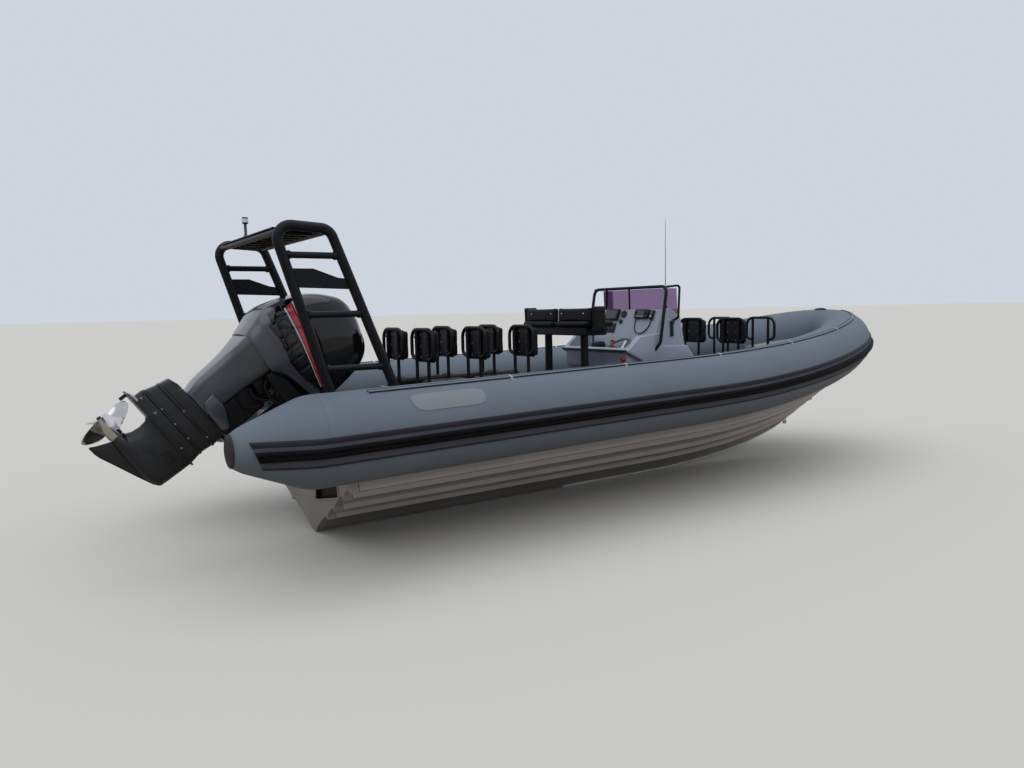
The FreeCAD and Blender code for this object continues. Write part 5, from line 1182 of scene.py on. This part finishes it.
rim_leather = moulded("rim_leather", (0.11, 0.115, 0.125), 0.45, patch=20.0, grain=0.4, grain_size=700.0)
rim_rings = [[on_wheel(turn, WHEEL_RADIUS + GRIP_RADIUS * math.cos(a), GRIP_RADIUS * math.sin(a))
              for a in circle(14)] for turn in circle(64)]
rim_bm = bmesh.new()
swept(rim_bm, rim_rings + rim_rings[:1])
fitted("wheel_rim", rim_bm, [rim_leather], ["steering_wheel"], 60.0, "steering_wheel")
spoke_runs = [[[on_wheel(turn, reach, along + off, half * share) for share, off in SPOKE_SECTION]
               for reach, along, half in SPOKE] for turn in circle(3)]
fitted("wheel_spokes", drawn(*spoke_runs), [bright_steel], body="steering_wheel")
hub_bm = bmesh.new()
turned(hub_bm, WHEEL_HUB, WHEEL_AXIS, HUB_CAP, 36)
fitted("wheel_hub_cap", hub_bm, [case_plastic], body="steering_wheel")
boss_bm = bmesh.new()
turned(boss_bm, WHEEL_HUB, WHEEL_AXIS, BOSS, 36)
fitted("helm_boss_cover", boss_bm, [case_plastic], ["helm_boss"])

# Engine control: a cast binnacle on the tub's wing with a side lever and its grip, and the kill switch by it.
BINNACLE = Vector((2.808, 0.21, up(1.1005)))
KILL_SWITCH = [(0.0, 0.017), (0.008, 0.017), (0.01, 0.012), (0.024, 0.012), (0.027, 0.008)]
binnacle_bm = bmesh.new()
for low, high, ease in (((-0.046, -0.05, 0.0), (0.06, 0.05, 0.13), 0.022),
                        ((-0.015, 0.034, 0.182), (0.015, 0.084, 0.214), 0.01)):
    blocked(binnacle_bm, BINNACLE + Vector(low), BINNACLE + Vector(high), ease, 4)
turned(binnacle_bm, BINNACLE + UPWARD * 0.09, TO_PORT, [(0.045, 0.02), (0.058, 0.018), (0.0655, 0.014)], 28)
turned(binnacle_bm, BINNACLE + TO_PORT * 0.062, UPWARD, [(0.088, 0.01), (0.14, 0.008), (0.188, 0.008)], 12)
fitted("engine_control", binnacle_bm, [case_plastic], ["throttle"])
red_plastic = moulded("red_plastic", (0.36, 0.03, 0.028), 0.4, mottle=0.08, patch=30.0)
kill_bm = bmesh.new()
turned(kill_bm, on_dash(0.18, 0.06, 0.0), DASH_OUT, KILL_SWITCH, 24)
fitted("kill_switch", kill_bm, [red_plastic])

# Kill lanyard: a coiled red plastic lanyard looped from the switch; and a red battery isolator under the
# tub's lip.
# columns: share up the dash, offset to port, height off it
LANYARD_ENDS = [(0.18, 0.06, 0.026), (0.3, 0.06, 0.06), (0.34, 0.0, 0.075), (0.2, -0.03, 0.09)]
LANYARD_TURNS = 15
ISOLATOR = [(0.0, 0.024), (0.014, 0.024), (0.026, 0.019), (0.029, 0.014)]
a, b, c, d = (on_dash(*row) for row in LANYARD_ENDS)
coil = []
for step in range(241):
    t = step / 240.0
    middle = a * (1 - t) ** 3 + b * 3 * t * (1 - t) ** 2 + c * 3 * t * t * (1 - t) + d * t ** 3
    turn = 2.0 * math.pi * LANYARD_TURNS * t
    coil.append(middle + (TO_PORT * math.cos(turn) + DASH_OUT * math.sin(turn)) * 0.012)
lanyard_bm = bmesh.new()
piped(lanyard_bm, coil, 0.0022, 8)
turned(lanyard_bm, Vector((2.606, -0.375, up(1.1))), AFTWARD, ISOLATOR, 24)
fitted("red_controls", lanyard_bm, [red_plastic])

# Bow locker: a moulded box on the foredeck, of the same dark gelcoat as the seat pods, with an overhanging
# lid.
locker_bm = bmesh.new()
blocked(locker_bm, (4.62, -0.23, up(0.573)), (4.92, 0.23, up(0.955)), 0.02, 4)
blocked(locker_bm, (4.617, -0.233, up(0.952)), (4.923, 0.233, up(1.01)), 0.022, 4)
fitted("bow_locker_box", locker_bm, [pod_gelcoat], ["bow_locker"], 36.0)

# Outboard: drawn upright about its tilt tube, aft towards -X, then leaned to the tilt it stands at.
TILT = Matrix.Translation((-0.14, 0.0, up(0.8))) @ Matrix.Rotation(math.radians(54.0), 4, "Y")
FACE_BOW = 0.012
CASING_STEPS = 8


def engine_piece(name, bm, paints, stands_for=(), crisp=34.0, body="outboard"):
    """A piece of the outboard, leaned from its upright drawing to where it stands."""
    bmesh.ops.transform(bm, verts=bm.verts, matrix=TILT)
    fitted(name, bm, paints, stands_for, crisp, body)


def smooth_rows(rows, steps):
    """Rows of a table with even steps between them, on smooth curves through the rows."""
    made = []
    padded = [rows[0], *rows, rows[-1]]
    for quad in zip(padded, padded[1:], padded[2:], padded[3:]):
        for step in range(steps):
            t = step / steps
            made.append(tuple(0.5 * (2 * b + (c - a) * t + (2 * a - 5 * b + 4 * c - d) * t * t
                                     + (3 * b - a - 3 * c + d) * t ** 3) for a, b, c, d in zip(*quad)))
    made.append(tuple(rows[-1]))
    return made


def casing_ring(fx, fz, bx, bz, half, front_half, corner):
    """A closed section across the drive shaft: rounded corners and bowed sides; front and back are (x, z)."""
    cut = corner / abs(fx - bx)
    back_half = 0.94 * half
    front, back = front_half - corner, back_half - corner
    shares = [step / CASING_STEPS for step in range(CASING_STEPS)]
    port = [(-FACE_BOW * (1.0 - t * t), front * t) for t in shares]
    quarter = [0.5 * math.pi * t for t in shares]
    port += [(cut * (1.0 - math.cos(a)), front + corner * math.sin(a)) for a in quarter]
    for step in range(2 * CASING_STEPS):
        t = 0.5 * step / CASING_STEPS
        port.append((cut + (1.0 - 2.0 * cut) * t,
                     front_half * (1 - t) * (1 - 2 * t) + half * 4 * t * (1 - t) + back_half * t * (2 * t - 1)))
    port += [(1.0 - cut + cut * math.sin(a), back + corner * math.cos(a)) for a in quarter]
    port += [(1.0 + FACE_BOW * (1.0 - (1.0 - t) ** 2), back * (1.0 - t)) for t in [*shares, 1.0]]
    ring = [Vector((fx + s * (bx - fx), y, fz + s * (bz - fz))) for s, y in port]
    return ring + [Vector((p.x, -p.y, p.z)) for p in reversed(ring[1:-1])]


# Upper cowl: a lift-off moulding. Its aft face and the band round its foot are satin grey; the sides and top
# are gloss black, with a run of louvres low on each side. Its lower edge rises over the opening ahead.
cowl_satin = moulded("satin_casing", (0.036, 0.042, 0.054), 0.28, mottle=0.08, patch=3.0, grain=0.12,
                     grain_size=700.0, coat=0.5, wear=0.1, worn=(0.05, 0.055, 0.065))
cowl_gloss = moulded("gloss_black", (0.0035, 0.0035, 0.005), 0.09, mottle=0.1, patch=4.0, coat=0.35, sheen=0.3)
# Near-black: the seam's own dark, and painted shade on the cowl's closed underside and the intake slots.
seam_and_opening_shade = moulded("casing_seam_and_painted_shade", (0.004, 0.004, 0.005), 0.75, mottle=0.2, patch=12.0, grain=0.4,
                     grain_size=200.0)
# columns: front x, front z, back x, back z, half breadth, front half breadth, corner radius
COWL_ROWS = [(-0.02, 0.172, -0.672, 0.108, 0.252, 0.222, 0.09),
             (-0.006, 0.188, -0.69, 0.16, 0.26, 0.228, 0.094),
             (0.002, 0.225, -0.724, 0.24, 0.27, 0.234, 0.098),
             (0.004, 0.31, -0.734, 0.325, 0.273, 0.234, 0.1), (0.002, 0.4, -0.712, 0.42, 0.271, 0.23, 0.098),
             (-0.003, 0.485, -0.684, 0.505, 0.264, 0.222, 0.096),
             (-0.012, 0.56, -0.646, 0.59, 0.252, 0.208, 0.094),
             (-0.028, 0.63, -0.596, 0.662, 0.234, 0.19, 0.09),
             (-0.054, 0.69, -0.54, 0.722, 0.21, 0.164, 0.084),
             (-0.1, 0.738, -0.484, 0.772, 0.176, 0.13, 0.07),
             (-0.16, 0.768, -0.42, 0.799, 0.134, 0.092, 0.054),
             (-0.205, 0.777, -0.375, 0.804, 0.08, 0.056, 0.034),
             (-0.26, 0.783, -0.33, 0.805, 0.026, 0.02, 0.012)]
# columns: station, lower edge of the cowl there
FOOT_LINE = [(-0.7, 0.106), (-0.554, 0.089), (-0.44, 0.075), (-0.398, 0.074), (-0.38, 0.105), (-0.355, 0.128),
             (-0.3, 0.148), (-0.2, 0.172), (-0.1, 0.19), (0.02, 0.196)]
# columns: station, where the satin band ends and the gloss side begins
GLOSS_LINE = [(-0.76, 0.33), (-0.729, 0.29), (-0.69, 0.252), (-0.64, 0.234), (-0.527, 0.236), (-0.4, 0.208),
              (-0.304, 0.196), (-0.2, 0.212), (-0.109, 0.236), (0.03, 0.262)]
cowl_rings = []
for index, row in enumerate(smooth_rows(COWL_ROWS, 6)):
    fx, fz, bx, bz = row[:4]
    lift = max(0.0, 1.0 - index / 9.0)
    ring = casing_ring(*row)
    for place in ring:
        place.z += lift * (read_off(FOOT_LINE, place.x) - (fz + (place.x - fx) / (bx - fx) * (bz - fz)))
    cowl_rings.append(ring)
cowl_bm = drawn(cowl_rings)
bmesh.ops.recalc_face_normals(cowl_bm, faces=cowl_bm.faces)
# Painted shade: the cowl's closed underside takes the near-black, standing for the shade in its hollow.
for face in cowl_bm.faces:
    x, y, z = face.calc_center_median()
    satin = z < read_off(GLOSS_LINE, x) or (x < -0.655 + 0.3 * (0.3 - z) and z < 0.47)
    shaded_underside = face.normal.z < -0.9 and len(face.verts) > 8
    face.material_index = 2 if shaded_underside else 0 if satin else 1
cowl_skin = BVHTree.FromBMesh(cowl_bm)
engine_piece("cowl_top_moulding", cowl_bm, [cowl_satin, cowl_gloss, seam_and_opening_shade],
             ["upper_cowl"], 50.0)


def laid(bm, line, levels, side, proud, paint):
    """Lays a panel on the cowl's side, from a line of (x, lower z, upper z), crossed at even levels."""
    rows = []
    for x, low, high in line:
        rows.append([])
        for level in range(levels + 1):
            start = Vector((x, side * 0.6, low + (high - low) * level / levels))
            spot, normal = cowl_skin.ray_cast(start, TO_PORT * -side)[:2]
            rows[-1].append(spot + normal * (proud if normal.y * side > 0 else -proud))
    swept(bm, rows, closed=False, paint=paint)


def thickened(bm, thick):
    """Turns the laid panels outward and gives them a thickness."""
    for face in bm.faces:
        face.normal_update()
        if face.normal.y * face.calc_center_median().y < 0:
            face.normal_flip()
    bmesh.ops.solidify(bm, geom=bm.faces[:], thickness=thick)


# Louvres: stepped blocks let into the gloss side, running from the aft corner down to the front.
# columns: aft x, fore x, low z and high z at the aft end, low z and high z at the fore end, finish
LOUVRES = [(-0.706, -0.64, 0.286, 0.384, 0.262, 0.372, 0), (-0.63, -0.54, 0.256, 0.368, 0.248, 0.35, 1),
           (-0.53, -0.454, 0.246, 0.346, 0.23, 0.33, 0), (-0.444, -0.374, 0.226, 0.326, 0.214, 0.31, 1),
           (-0.364, -0.294, 0.212, 0.306, 0.206, 0.29, 0), (-0.284, -0.204, 0.206, 0.286, 0.21, 0.266, 1)]
LOUVRE_PROUD = (0.0025, 0.0055)
louvre_bm = bmesh.new()
for side in (-1, 1):
    for aft, fore, low_a, high_a, low_f, high_f, kind in LOUVRES:
        line = [(aft + (fore - aft) * t, low_a + (low_f - low_a) * t, high_a + (high_f - high_a) * t)
                for t in (0.0, 0.2, 0.4, 0.6, 0.8, 1.0)]
        laid(louvre_bm, line, 4, side, LOUVRE_PROUD[kind], kind)
thickened(louvre_bm, 0.007)
rounded(louvre_bm, [edge for edge in louvre_bm.edges if edge.calc_face_angle(0.0) > 0.8], 0.0018, 2)
louvre_black = moulded("louvre_black", (0.006, 0.0065, 0.009), 0.2, mottle=0.1, patch=6.0, coat=0.2)
engine_piece("cowl_louvres", louvre_bm, [cowl_gloss, louvre_black], crisp=40.0)

# Side stripes: three plain swept bands of film on the gloss side, silver, red and silver.
silver_film = moulded("silver_film", (0.5, 0.51, 0.53), 0.25, mottle=0.04, patch=20.0, coat=0.6)
red_film = moulded("red_film", (0.42, 0.016, 0.022), 0.25, mottle=0.04, patch=20.0, coat=0.6)
# columns: distances above the stripe line at the aft and fore ends, film
STRIPES = [(0.0, 0.012, 0.0, 0.004, 0), (0.018, 0.062, 0.007, 0.018, 1), (0.07, 0.092, 0.022, 0.03, 0)]
STRIPE_LINE = smooth_rows([(-0.672, 0.392), (-0.6, 0.376), (-0.5, 0.354), (-0.4, 0.33), (-0.3, 0.305),
                           (-0.2, 0.28), (-0.11, 0.262)], 5)
stripe_bm = bmesh.new()
for side in (-1, 1):
    for low_a, high_a, low_f, high_f, film in STRIPES:
        line = []
        for index, (x, z) in enumerate(STRIPE_LINE):
            t = index / (len(STRIPE_LINE) - 1)
            line.append((x, z + low_a + (low_f - low_a) * t, z + high_a + (high_f - high_a) * t))
        laid(stripe_bm, line, 2, side, 0.0008, film)
thickened(stripe_bm, 0.0006)
engine_piece("cowl_side_stripes", stripe_bm, [silver_film, red_film], crisp=60.0)

# Casing: the tall satin fairing below the cowl, in one sweep from the cowl's foot to the leg, its front cut
# off square behind the steering bracket. Darkness and the block's plumbing show in the opening ahead of it.
# columns: front x, front z, back x, back z, half breadth, front half breadth, corner radius
CASING_ROWS = [(-0.398, 0.071, -0.668, 0.103, 0.236, 0.238, 0.06),
               (-0.398, 0.02, -0.657, 0.04, 0.208, 0.214, 0.058),
               (-0.398, -0.045, -0.645, -0.04, 0.172, 0.18, 0.054),
               (-0.398, -0.12, -0.636, -0.122, 0.15, 0.156, 0.05),
               (-0.399, -0.2, -0.63, -0.205, 0.138, 0.142, 0.046),
               (-0.401, -0.29, -0.623, -0.292, 0.13, 0.132, 0.042),
               (-0.404, -0.35, -0.61, -0.346, 0.122, 0.124, 0.038),
               (-0.41, -0.391, -0.594, -0.391, 0.112, 0.114, 0.034)]
casing_bm = drawn([casing_ring(*row) for row in smooth_rows(CASING_ROWS, 5)])
engine_piece("tall_casing", casing_bm, [cowl_satin], ["lower_cowl", "midsection"], 40.0)
SEAM = casing_ring(-0.4, 0.071, -0.6655, 0.103, 0.2335, 0.235, 0.06)
seam_bm = bmesh.new()
swept(seam_bm, [[place + UPWARD * rise for place in SEAM] for rise in (0.0018, 0.0053)])
engine_piece("casing_seam", seam_bm, [seam_and_opening_shade], crisp=50.0)
BOSS_OUTLINE = [(-0.506, -0.286), (-0.492, -0.362), (-0.452, -0.386), (-0.287, -0.389), (-0.27, -0.372),
                (-0.273, -0.341), (-0.366, -0.297), (-0.4, -0.282)]
side_boss_bm = bmesh.new()
for side in (-1, 1):
    slab(side_boss_bm, [(x, side * 0.09, z) for x, z in BOSS_OUTLINE], (0.0, side * 0.062, 0.0))
rounded(side_boss_bm, side_boss_bm.edges, 0.008)
engine_piece("casing_side_bosses", side_boss_bm, [cowl_satin], crisp=36.0)

# Powerhead: what the opening shows is black: the pan under the block, the exhaust housing and a few hoses
# and pipes.
block_black = moulded("block_black", (0.006, 0.006, 0.007), 0.42, mottle=0.25, patch=16.0, grain=0.5,
                      grain_size=160.0, sheen=0.2)
under_bm = bmesh.new()
blocked(under_bm, (-0.4, -0.2, 0.03), (-0.06, 0.2, 0.15), 0.03, 4)
blocked(under_bm, (-0.4, -0.088, -0.385), (-0.215, 0.088, -0.066), 0.02, 4)
blocked(under_bm, (-0.4, -0.12, -0.06), (-0.29, 0.12, 0.04), 0.015, 3)
engine_piece("powerhead_pan", under_bm, [block_black], crisp=36.0)
# columns: y, radius, then the pipe's corners as (x, z)
PIPES = [(0.15, 0.01, [(-0.385, 0.06), (-0.33, -0.01), (-0.23, -0.03), (-0.12, 0.06)]),
         (0.128, 0.008, [(-0.38, -0.08), (-0.32, -0.11), (-0.26, -0.06), (-0.2, 0.04)]),
         (0.105, 0.007, [(-0.385, -0.18), (-0.3, -0.19), (-0.25, -0.12), (-0.24, 0.03)]),
         (0.17, 0.006, [(-0.39, 0.1), (-0.3, 0.02), (-0.18, 0.01), (-0.1, 0.09)])]
plumbing_bm = bmesh.new()
for side in (-1, 1):
    for y, radius, corners in PIPES:
        piped(plumbing_bm, rounded_route([(x, side * y, z) for x, z in corners], 0.05, 5), radius, 12)
engine_piece("powerhead_pipes", plumbing_bm, [block_black], crisp=60.0)

# Leg: the cast exhaust housing below the casing, with splash ledges round it.
leg_black = moulded("leg_paint", (0.0085, 0.0095, 0.013), 0.34, mottle=0.14, patch=5.0, grain=0.2,
                    grain_size=400.0, coat=0.15, wear=0.14, worn=(0.03, 0.032, 0.038), sheen=0.35)


def foils(rows):
    """Closed sections at heights, each from half its plan, nose first, smoothed."""
    rings = []
    for heights, plan in rows:
        port = smooth_rows(plan, 6)
        outline = port + [(x, -y) for x, y in reversed(port)]
        rings += [[Vector((x, y, z)) for x, y in outline] for z in heights]
    return rings


LEG_ROWS = [((-0.394,), [(-0.222, 0.03), (-0.246, 0.072), (-0.33, 0.092), (-0.42, 0.098), (-0.6, 0.076),
                         (-0.664, 0.048), (-0.676, 0.02)]),
            ((-0.412,), [(-0.221, 0.03), (-0.246, 0.072), (-0.33, 0.092), (-0.42, 0.097), (-0.6, 0.078),
                         (-0.712, 0.046), (-0.728, 0.018)]),
            ((-0.47,), [(-0.224, 0.03), (-0.248, 0.066), (-0.33, 0.082), (-0.42, 0.086), (-0.6, 0.064),
                        (-0.722, 0.034), (-0.736, 0.014)]),
            ((-0.476, -0.486), [(-0.219, 0.034), (-0.244, 0.073), (-0.33, 0.09), (-0.42, 0.094), (-0.6, 0.072),
                                (-0.728, 0.04), (-0.742, 0.016)]),
            ((-0.492,), [(-0.226, 0.028), (-0.25, 0.062), (-0.33, 0.078), (-0.42, 0.082), (-0.6, 0.06),
                         (-0.726, 0.032), (-0.74, 0.013)]),
            ((-0.56,), [(-0.234, 0.026), (-0.258, 0.057), (-0.33, 0.07), (-0.42, 0.073), (-0.6, 0.053),
                        (-0.742, 0.027), (-0.758, 0.011)]),
            ((-0.565, -0.574), [(-0.229, 0.03), (-0.254, 0.063), (-0.33, 0.077), (-0.42, 0.08), (-0.6, 0.06),
                                (-0.748, 0.032), (-0.764, 0.013)]),
            ((-0.58,), [(-0.232, 0.025), (-0.256, 0.054), (-0.33, 0.066), (-0.42, 0.069), (-0.61, 0.05),
                        (-0.752, 0.026), (-0.768, 0.01)]),
            ((-0.6495,), [(-0.222, 0.026), (-0.248, 0.054), (-0.33, 0.064), (-0.42, 0.066), (-0.62, 0.048),
                          (-0.752, 0.026), (-0.77, 0.01)])]
leg_bm = drawn(foils(LEG_ROWS))
leg_skin = BVHTree.FromBMesh(leg_bm)
engine_piece("leg_casting", leg_bm, [leg_black], ["leg_extension"], 28.0)
coat_node(["anti_ventilation_plate", "trim_tab", "steering_yoke", "swivel_bracket", "clamp_brackets",
           "tilt_ram_barrel"], leg_black)
coat_node(["tilt_ram_rod"], bright_steel)
zinc = moulded("zinc", (0.46, 0.46, 0.45), 0.55, mottle=0.15, patch=40.0, grain=0.5, grain_size=300.0)
coat_node(["anodes"], zinc)

# Leg fastenings: the small zinc blocks and the bolt heads along the splash ledges, on both sides.
# columns: x, z, radius, height off the leg, corners
FASTENINGS = [(-0.735, -0.612, 0.013, 0.007, 4), (-0.614, -0.612, 0.013, 0.007, 4),
              (-0.61, -0.568, 0.0065, 0.005, 12), (-0.489, -0.57, 0.0065, 0.005, 12),
              (-0.369, -0.57, 0.0065, 0.005, 12), (-0.343, -0.64, 0.008, 0.006, 12),
              (-0.3, -0.48, 0.0065, 0.005, 12), (-0.52, -0.481, 0.0065, 0.005, 12)]
fasten_bm = bmesh.new()
for side in (-1, 1):
    for x, z, radius, proud, corners in FASTENINGS:
        spot = leg_skin.ray_cast(Vector((x, side * 0.4, z)), TO_PORT * -side)[0]
        head = [(-0.004, radius), (proud * 0.8, radius), (proud, radius * 0.8)]
        turned(fasten_bm, spot, TO_PORT * side, head, corners)
engine_piece("leg_fastenings", fasten_bm, [dull_steel], crisp=40.0)

# Gearcase: strut, torpedo and skeg in one casting; the skeg is one long fin from the nose to its aft tip.
SHAFT = Vector((0.0, 0.0, -0.865))
STRUT_ROWS = [((-0.6625,), [(-0.216, 0.01), (-0.24, 0.034), (-0.33, 0.046), (-0.42, 0.046), (-0.56, 0.028),
                            (-0.628, 0.008)]),
              ((-0.685,), [(-0.217, 0.009), (-0.241, 0.032), (-0.33, 0.045), (-0.42, 0.045), (-0.545, 0.028),
                           (-0.607, 0.008)]),
              ((-0.735,), [(-0.219, 0.009), (-0.243, 0.031), (-0.33, 0.044), (-0.42, 0.045), (-0.535, 0.03),
                           (-0.6, 0.009)]),
              ((-0.785,), [(-0.222, 0.009), (-0.246, 0.034), (-0.33, 0.048), (-0.42, 0.05), (-0.54, 0.038),
                           (-0.606, 0.012)]),
              ((-0.822,), [(-0.224, 0.01), (-0.252, 0.04), (-0.33, 0.054), (-0.42, 0.056), (-0.56, 0.048),
                           (-0.622, 0.02)]),
              ((-0.862,), [(-0.228, 0.01), (-0.262, 0.04), (-0.33, 0.052), (-0.42, 0.056), (-0.56, 0.048),
                           (-0.622, 0.024)])]
# columns: station, radius
TORPEDO = [(-0.2245, 0.002), (-0.23, 0.016), (-0.246, 0.03), (-0.29, 0.046), (-0.35, 0.055), (-0.47, 0.057),
           (-0.56, 0.053), (-0.63, 0.046), (-0.6355, 0.043), (-0.636, 0.02)]
SKEG_ROWS = [((-0.872,), [(-0.228, 0.006), (-0.3, 0.026), (-0.46, 0.03), (-0.56, 0.022), (-0.622, 0.008)]),
             ((-0.905,), [(-0.262, 0.004), (-0.33, 0.013), (-0.47, 0.017), (-0.57, 0.012), (-0.634, 0.004)]),
             ((-0.94,), [(-0.362, 0.003), (-0.42, 0.008), (-0.5, 0.01), (-0.59, 0.008), (-0.648, 0.003)]),
             ((-0.985,), [(-0.5, 0.0025), (-0.53, 0.005), (-0.58, 0.006), (-0.63, 0.005), (-0.668, 0.0025)]),
             ((-1.018,), [(-0.598, 0.002), (-0.615, 0.0035), (-0.64, 0.004), (-0.668, 0.0035), (-0.688, 0.002)]),
             ((-1.0245,), [(-0.632, 0.001), (-0.645, 0.002), (-0.66, 0.002), (-0.672, 0.002), (-0.684, 0.001)])]
gear_bm = drawn(foils(STRUT_ROWS))
turned(gear_bm, SHAFT, -AFTWARD, TORPEDO, 40)
swept(gear_bm, foils(SKEG_ROWS), capped=True)
turned(gear_bm, SHAFT, -AFTWARD, [(-0.63, 0.0138), (-0.796, 0.0138), (-0.8, 0.01)], 20)
engine_piece("gearcase_casting", gear_bm, [leg_black], ["gearcase"], 40.0)
# Water intakes: near-black blocks on the strut, a painted shade for the slots of the intakes.
intake_bm = bmesh.new()
for side in (-1, 1):
    for x in (-0.3, -0.32, -0.34, -0.36, -0.38):
        y = side * 0.0475
        blocked(intake_bm, (x - 0.006, y - 0.004, -0.76), (x + 0.006, y + 0.004, -0.705), 0.002, 2)
engine_piece("water_intakes", intake_bm, [seam_and_opening_shade], crisp=40.0)

# Propeller: three raked blades and a flared hub cast in stainless steel, polished; it spins on its own body.
polished = moulded("polished_stainless", (0.56, 0.55, 0.55), 0.12, mottle=0.05, patch=18.0, grain=0.05,
                   grain_size=500.0, metallic=1.0)
# columns: radius, half chord, pitch in degrees, aft rake, half thickness
BLADE_ROWS = smooth_rows([(0.04, 0.05, 62.0, 0.0, 0.007), (0.07, 0.068, 52.0, 0.004, 0.0062),
                          (0.105, 0.081, 42.0, 0.011, 0.0052), (0.14, 0.082, 34.0, 0.02, 0.0042),
                          (0.166, 0.068, 30.0, 0.027, 0.0032), (0.181, 0.045, 28.0, 0.031, 0.0024),
                          (0.1875, 0.014, 27.0, 0.034, 0.0014)], 4)
# columns: station, radius
HUB = [(-0.642, 0.03), (-0.6425, 0.044), (-0.65, 0.046), (-0.73, 0.0455), (-0.775, 0.047), (-0.7895, 0.05),
       (-0.79, 0.044), (-0.78, 0.04), (-0.77, 0.016)]
blade_bm = bmesh.new()
for first in (25.0, 145.0, 265.0):
    turn = Matrix.Rotation(math.radians(first), 3, "X")
    rings = []
    for radius, half_chord, pitch, rake, half_thick in BLADE_ROWS:
        lean = math.radians(pitch)
        chordwise = Vector((-math.sin(lean), math.cos(lean), 0.0))
        normal = Vector((math.cos(lean), math.sin(lean), 0.0))
        ring = []
        for around in circle(24):
            along = half_chord * math.cos(around)
            off = half_thick * math.sin(around) * (1.0 if math.sin(around) > 0 else 0.5)
            droop = math.sqrt(max(0.0, radius * radius - (along * math.cos(lean)) ** 2))
            ring.append(turn @ (Vector((-0.728 - rake, 0.0, droop)) + chordwise * along + normal * off) + SHAFT)
        rings.append(ring)
    swept(blade_bm, rings, capped=True)
turned(blade_bm, SHAFT, -AFTWARD, HUB, 40)
engine_piece("propeller_casting", blade_bm, [polished], ["propeller"], 45.0, "propeller")
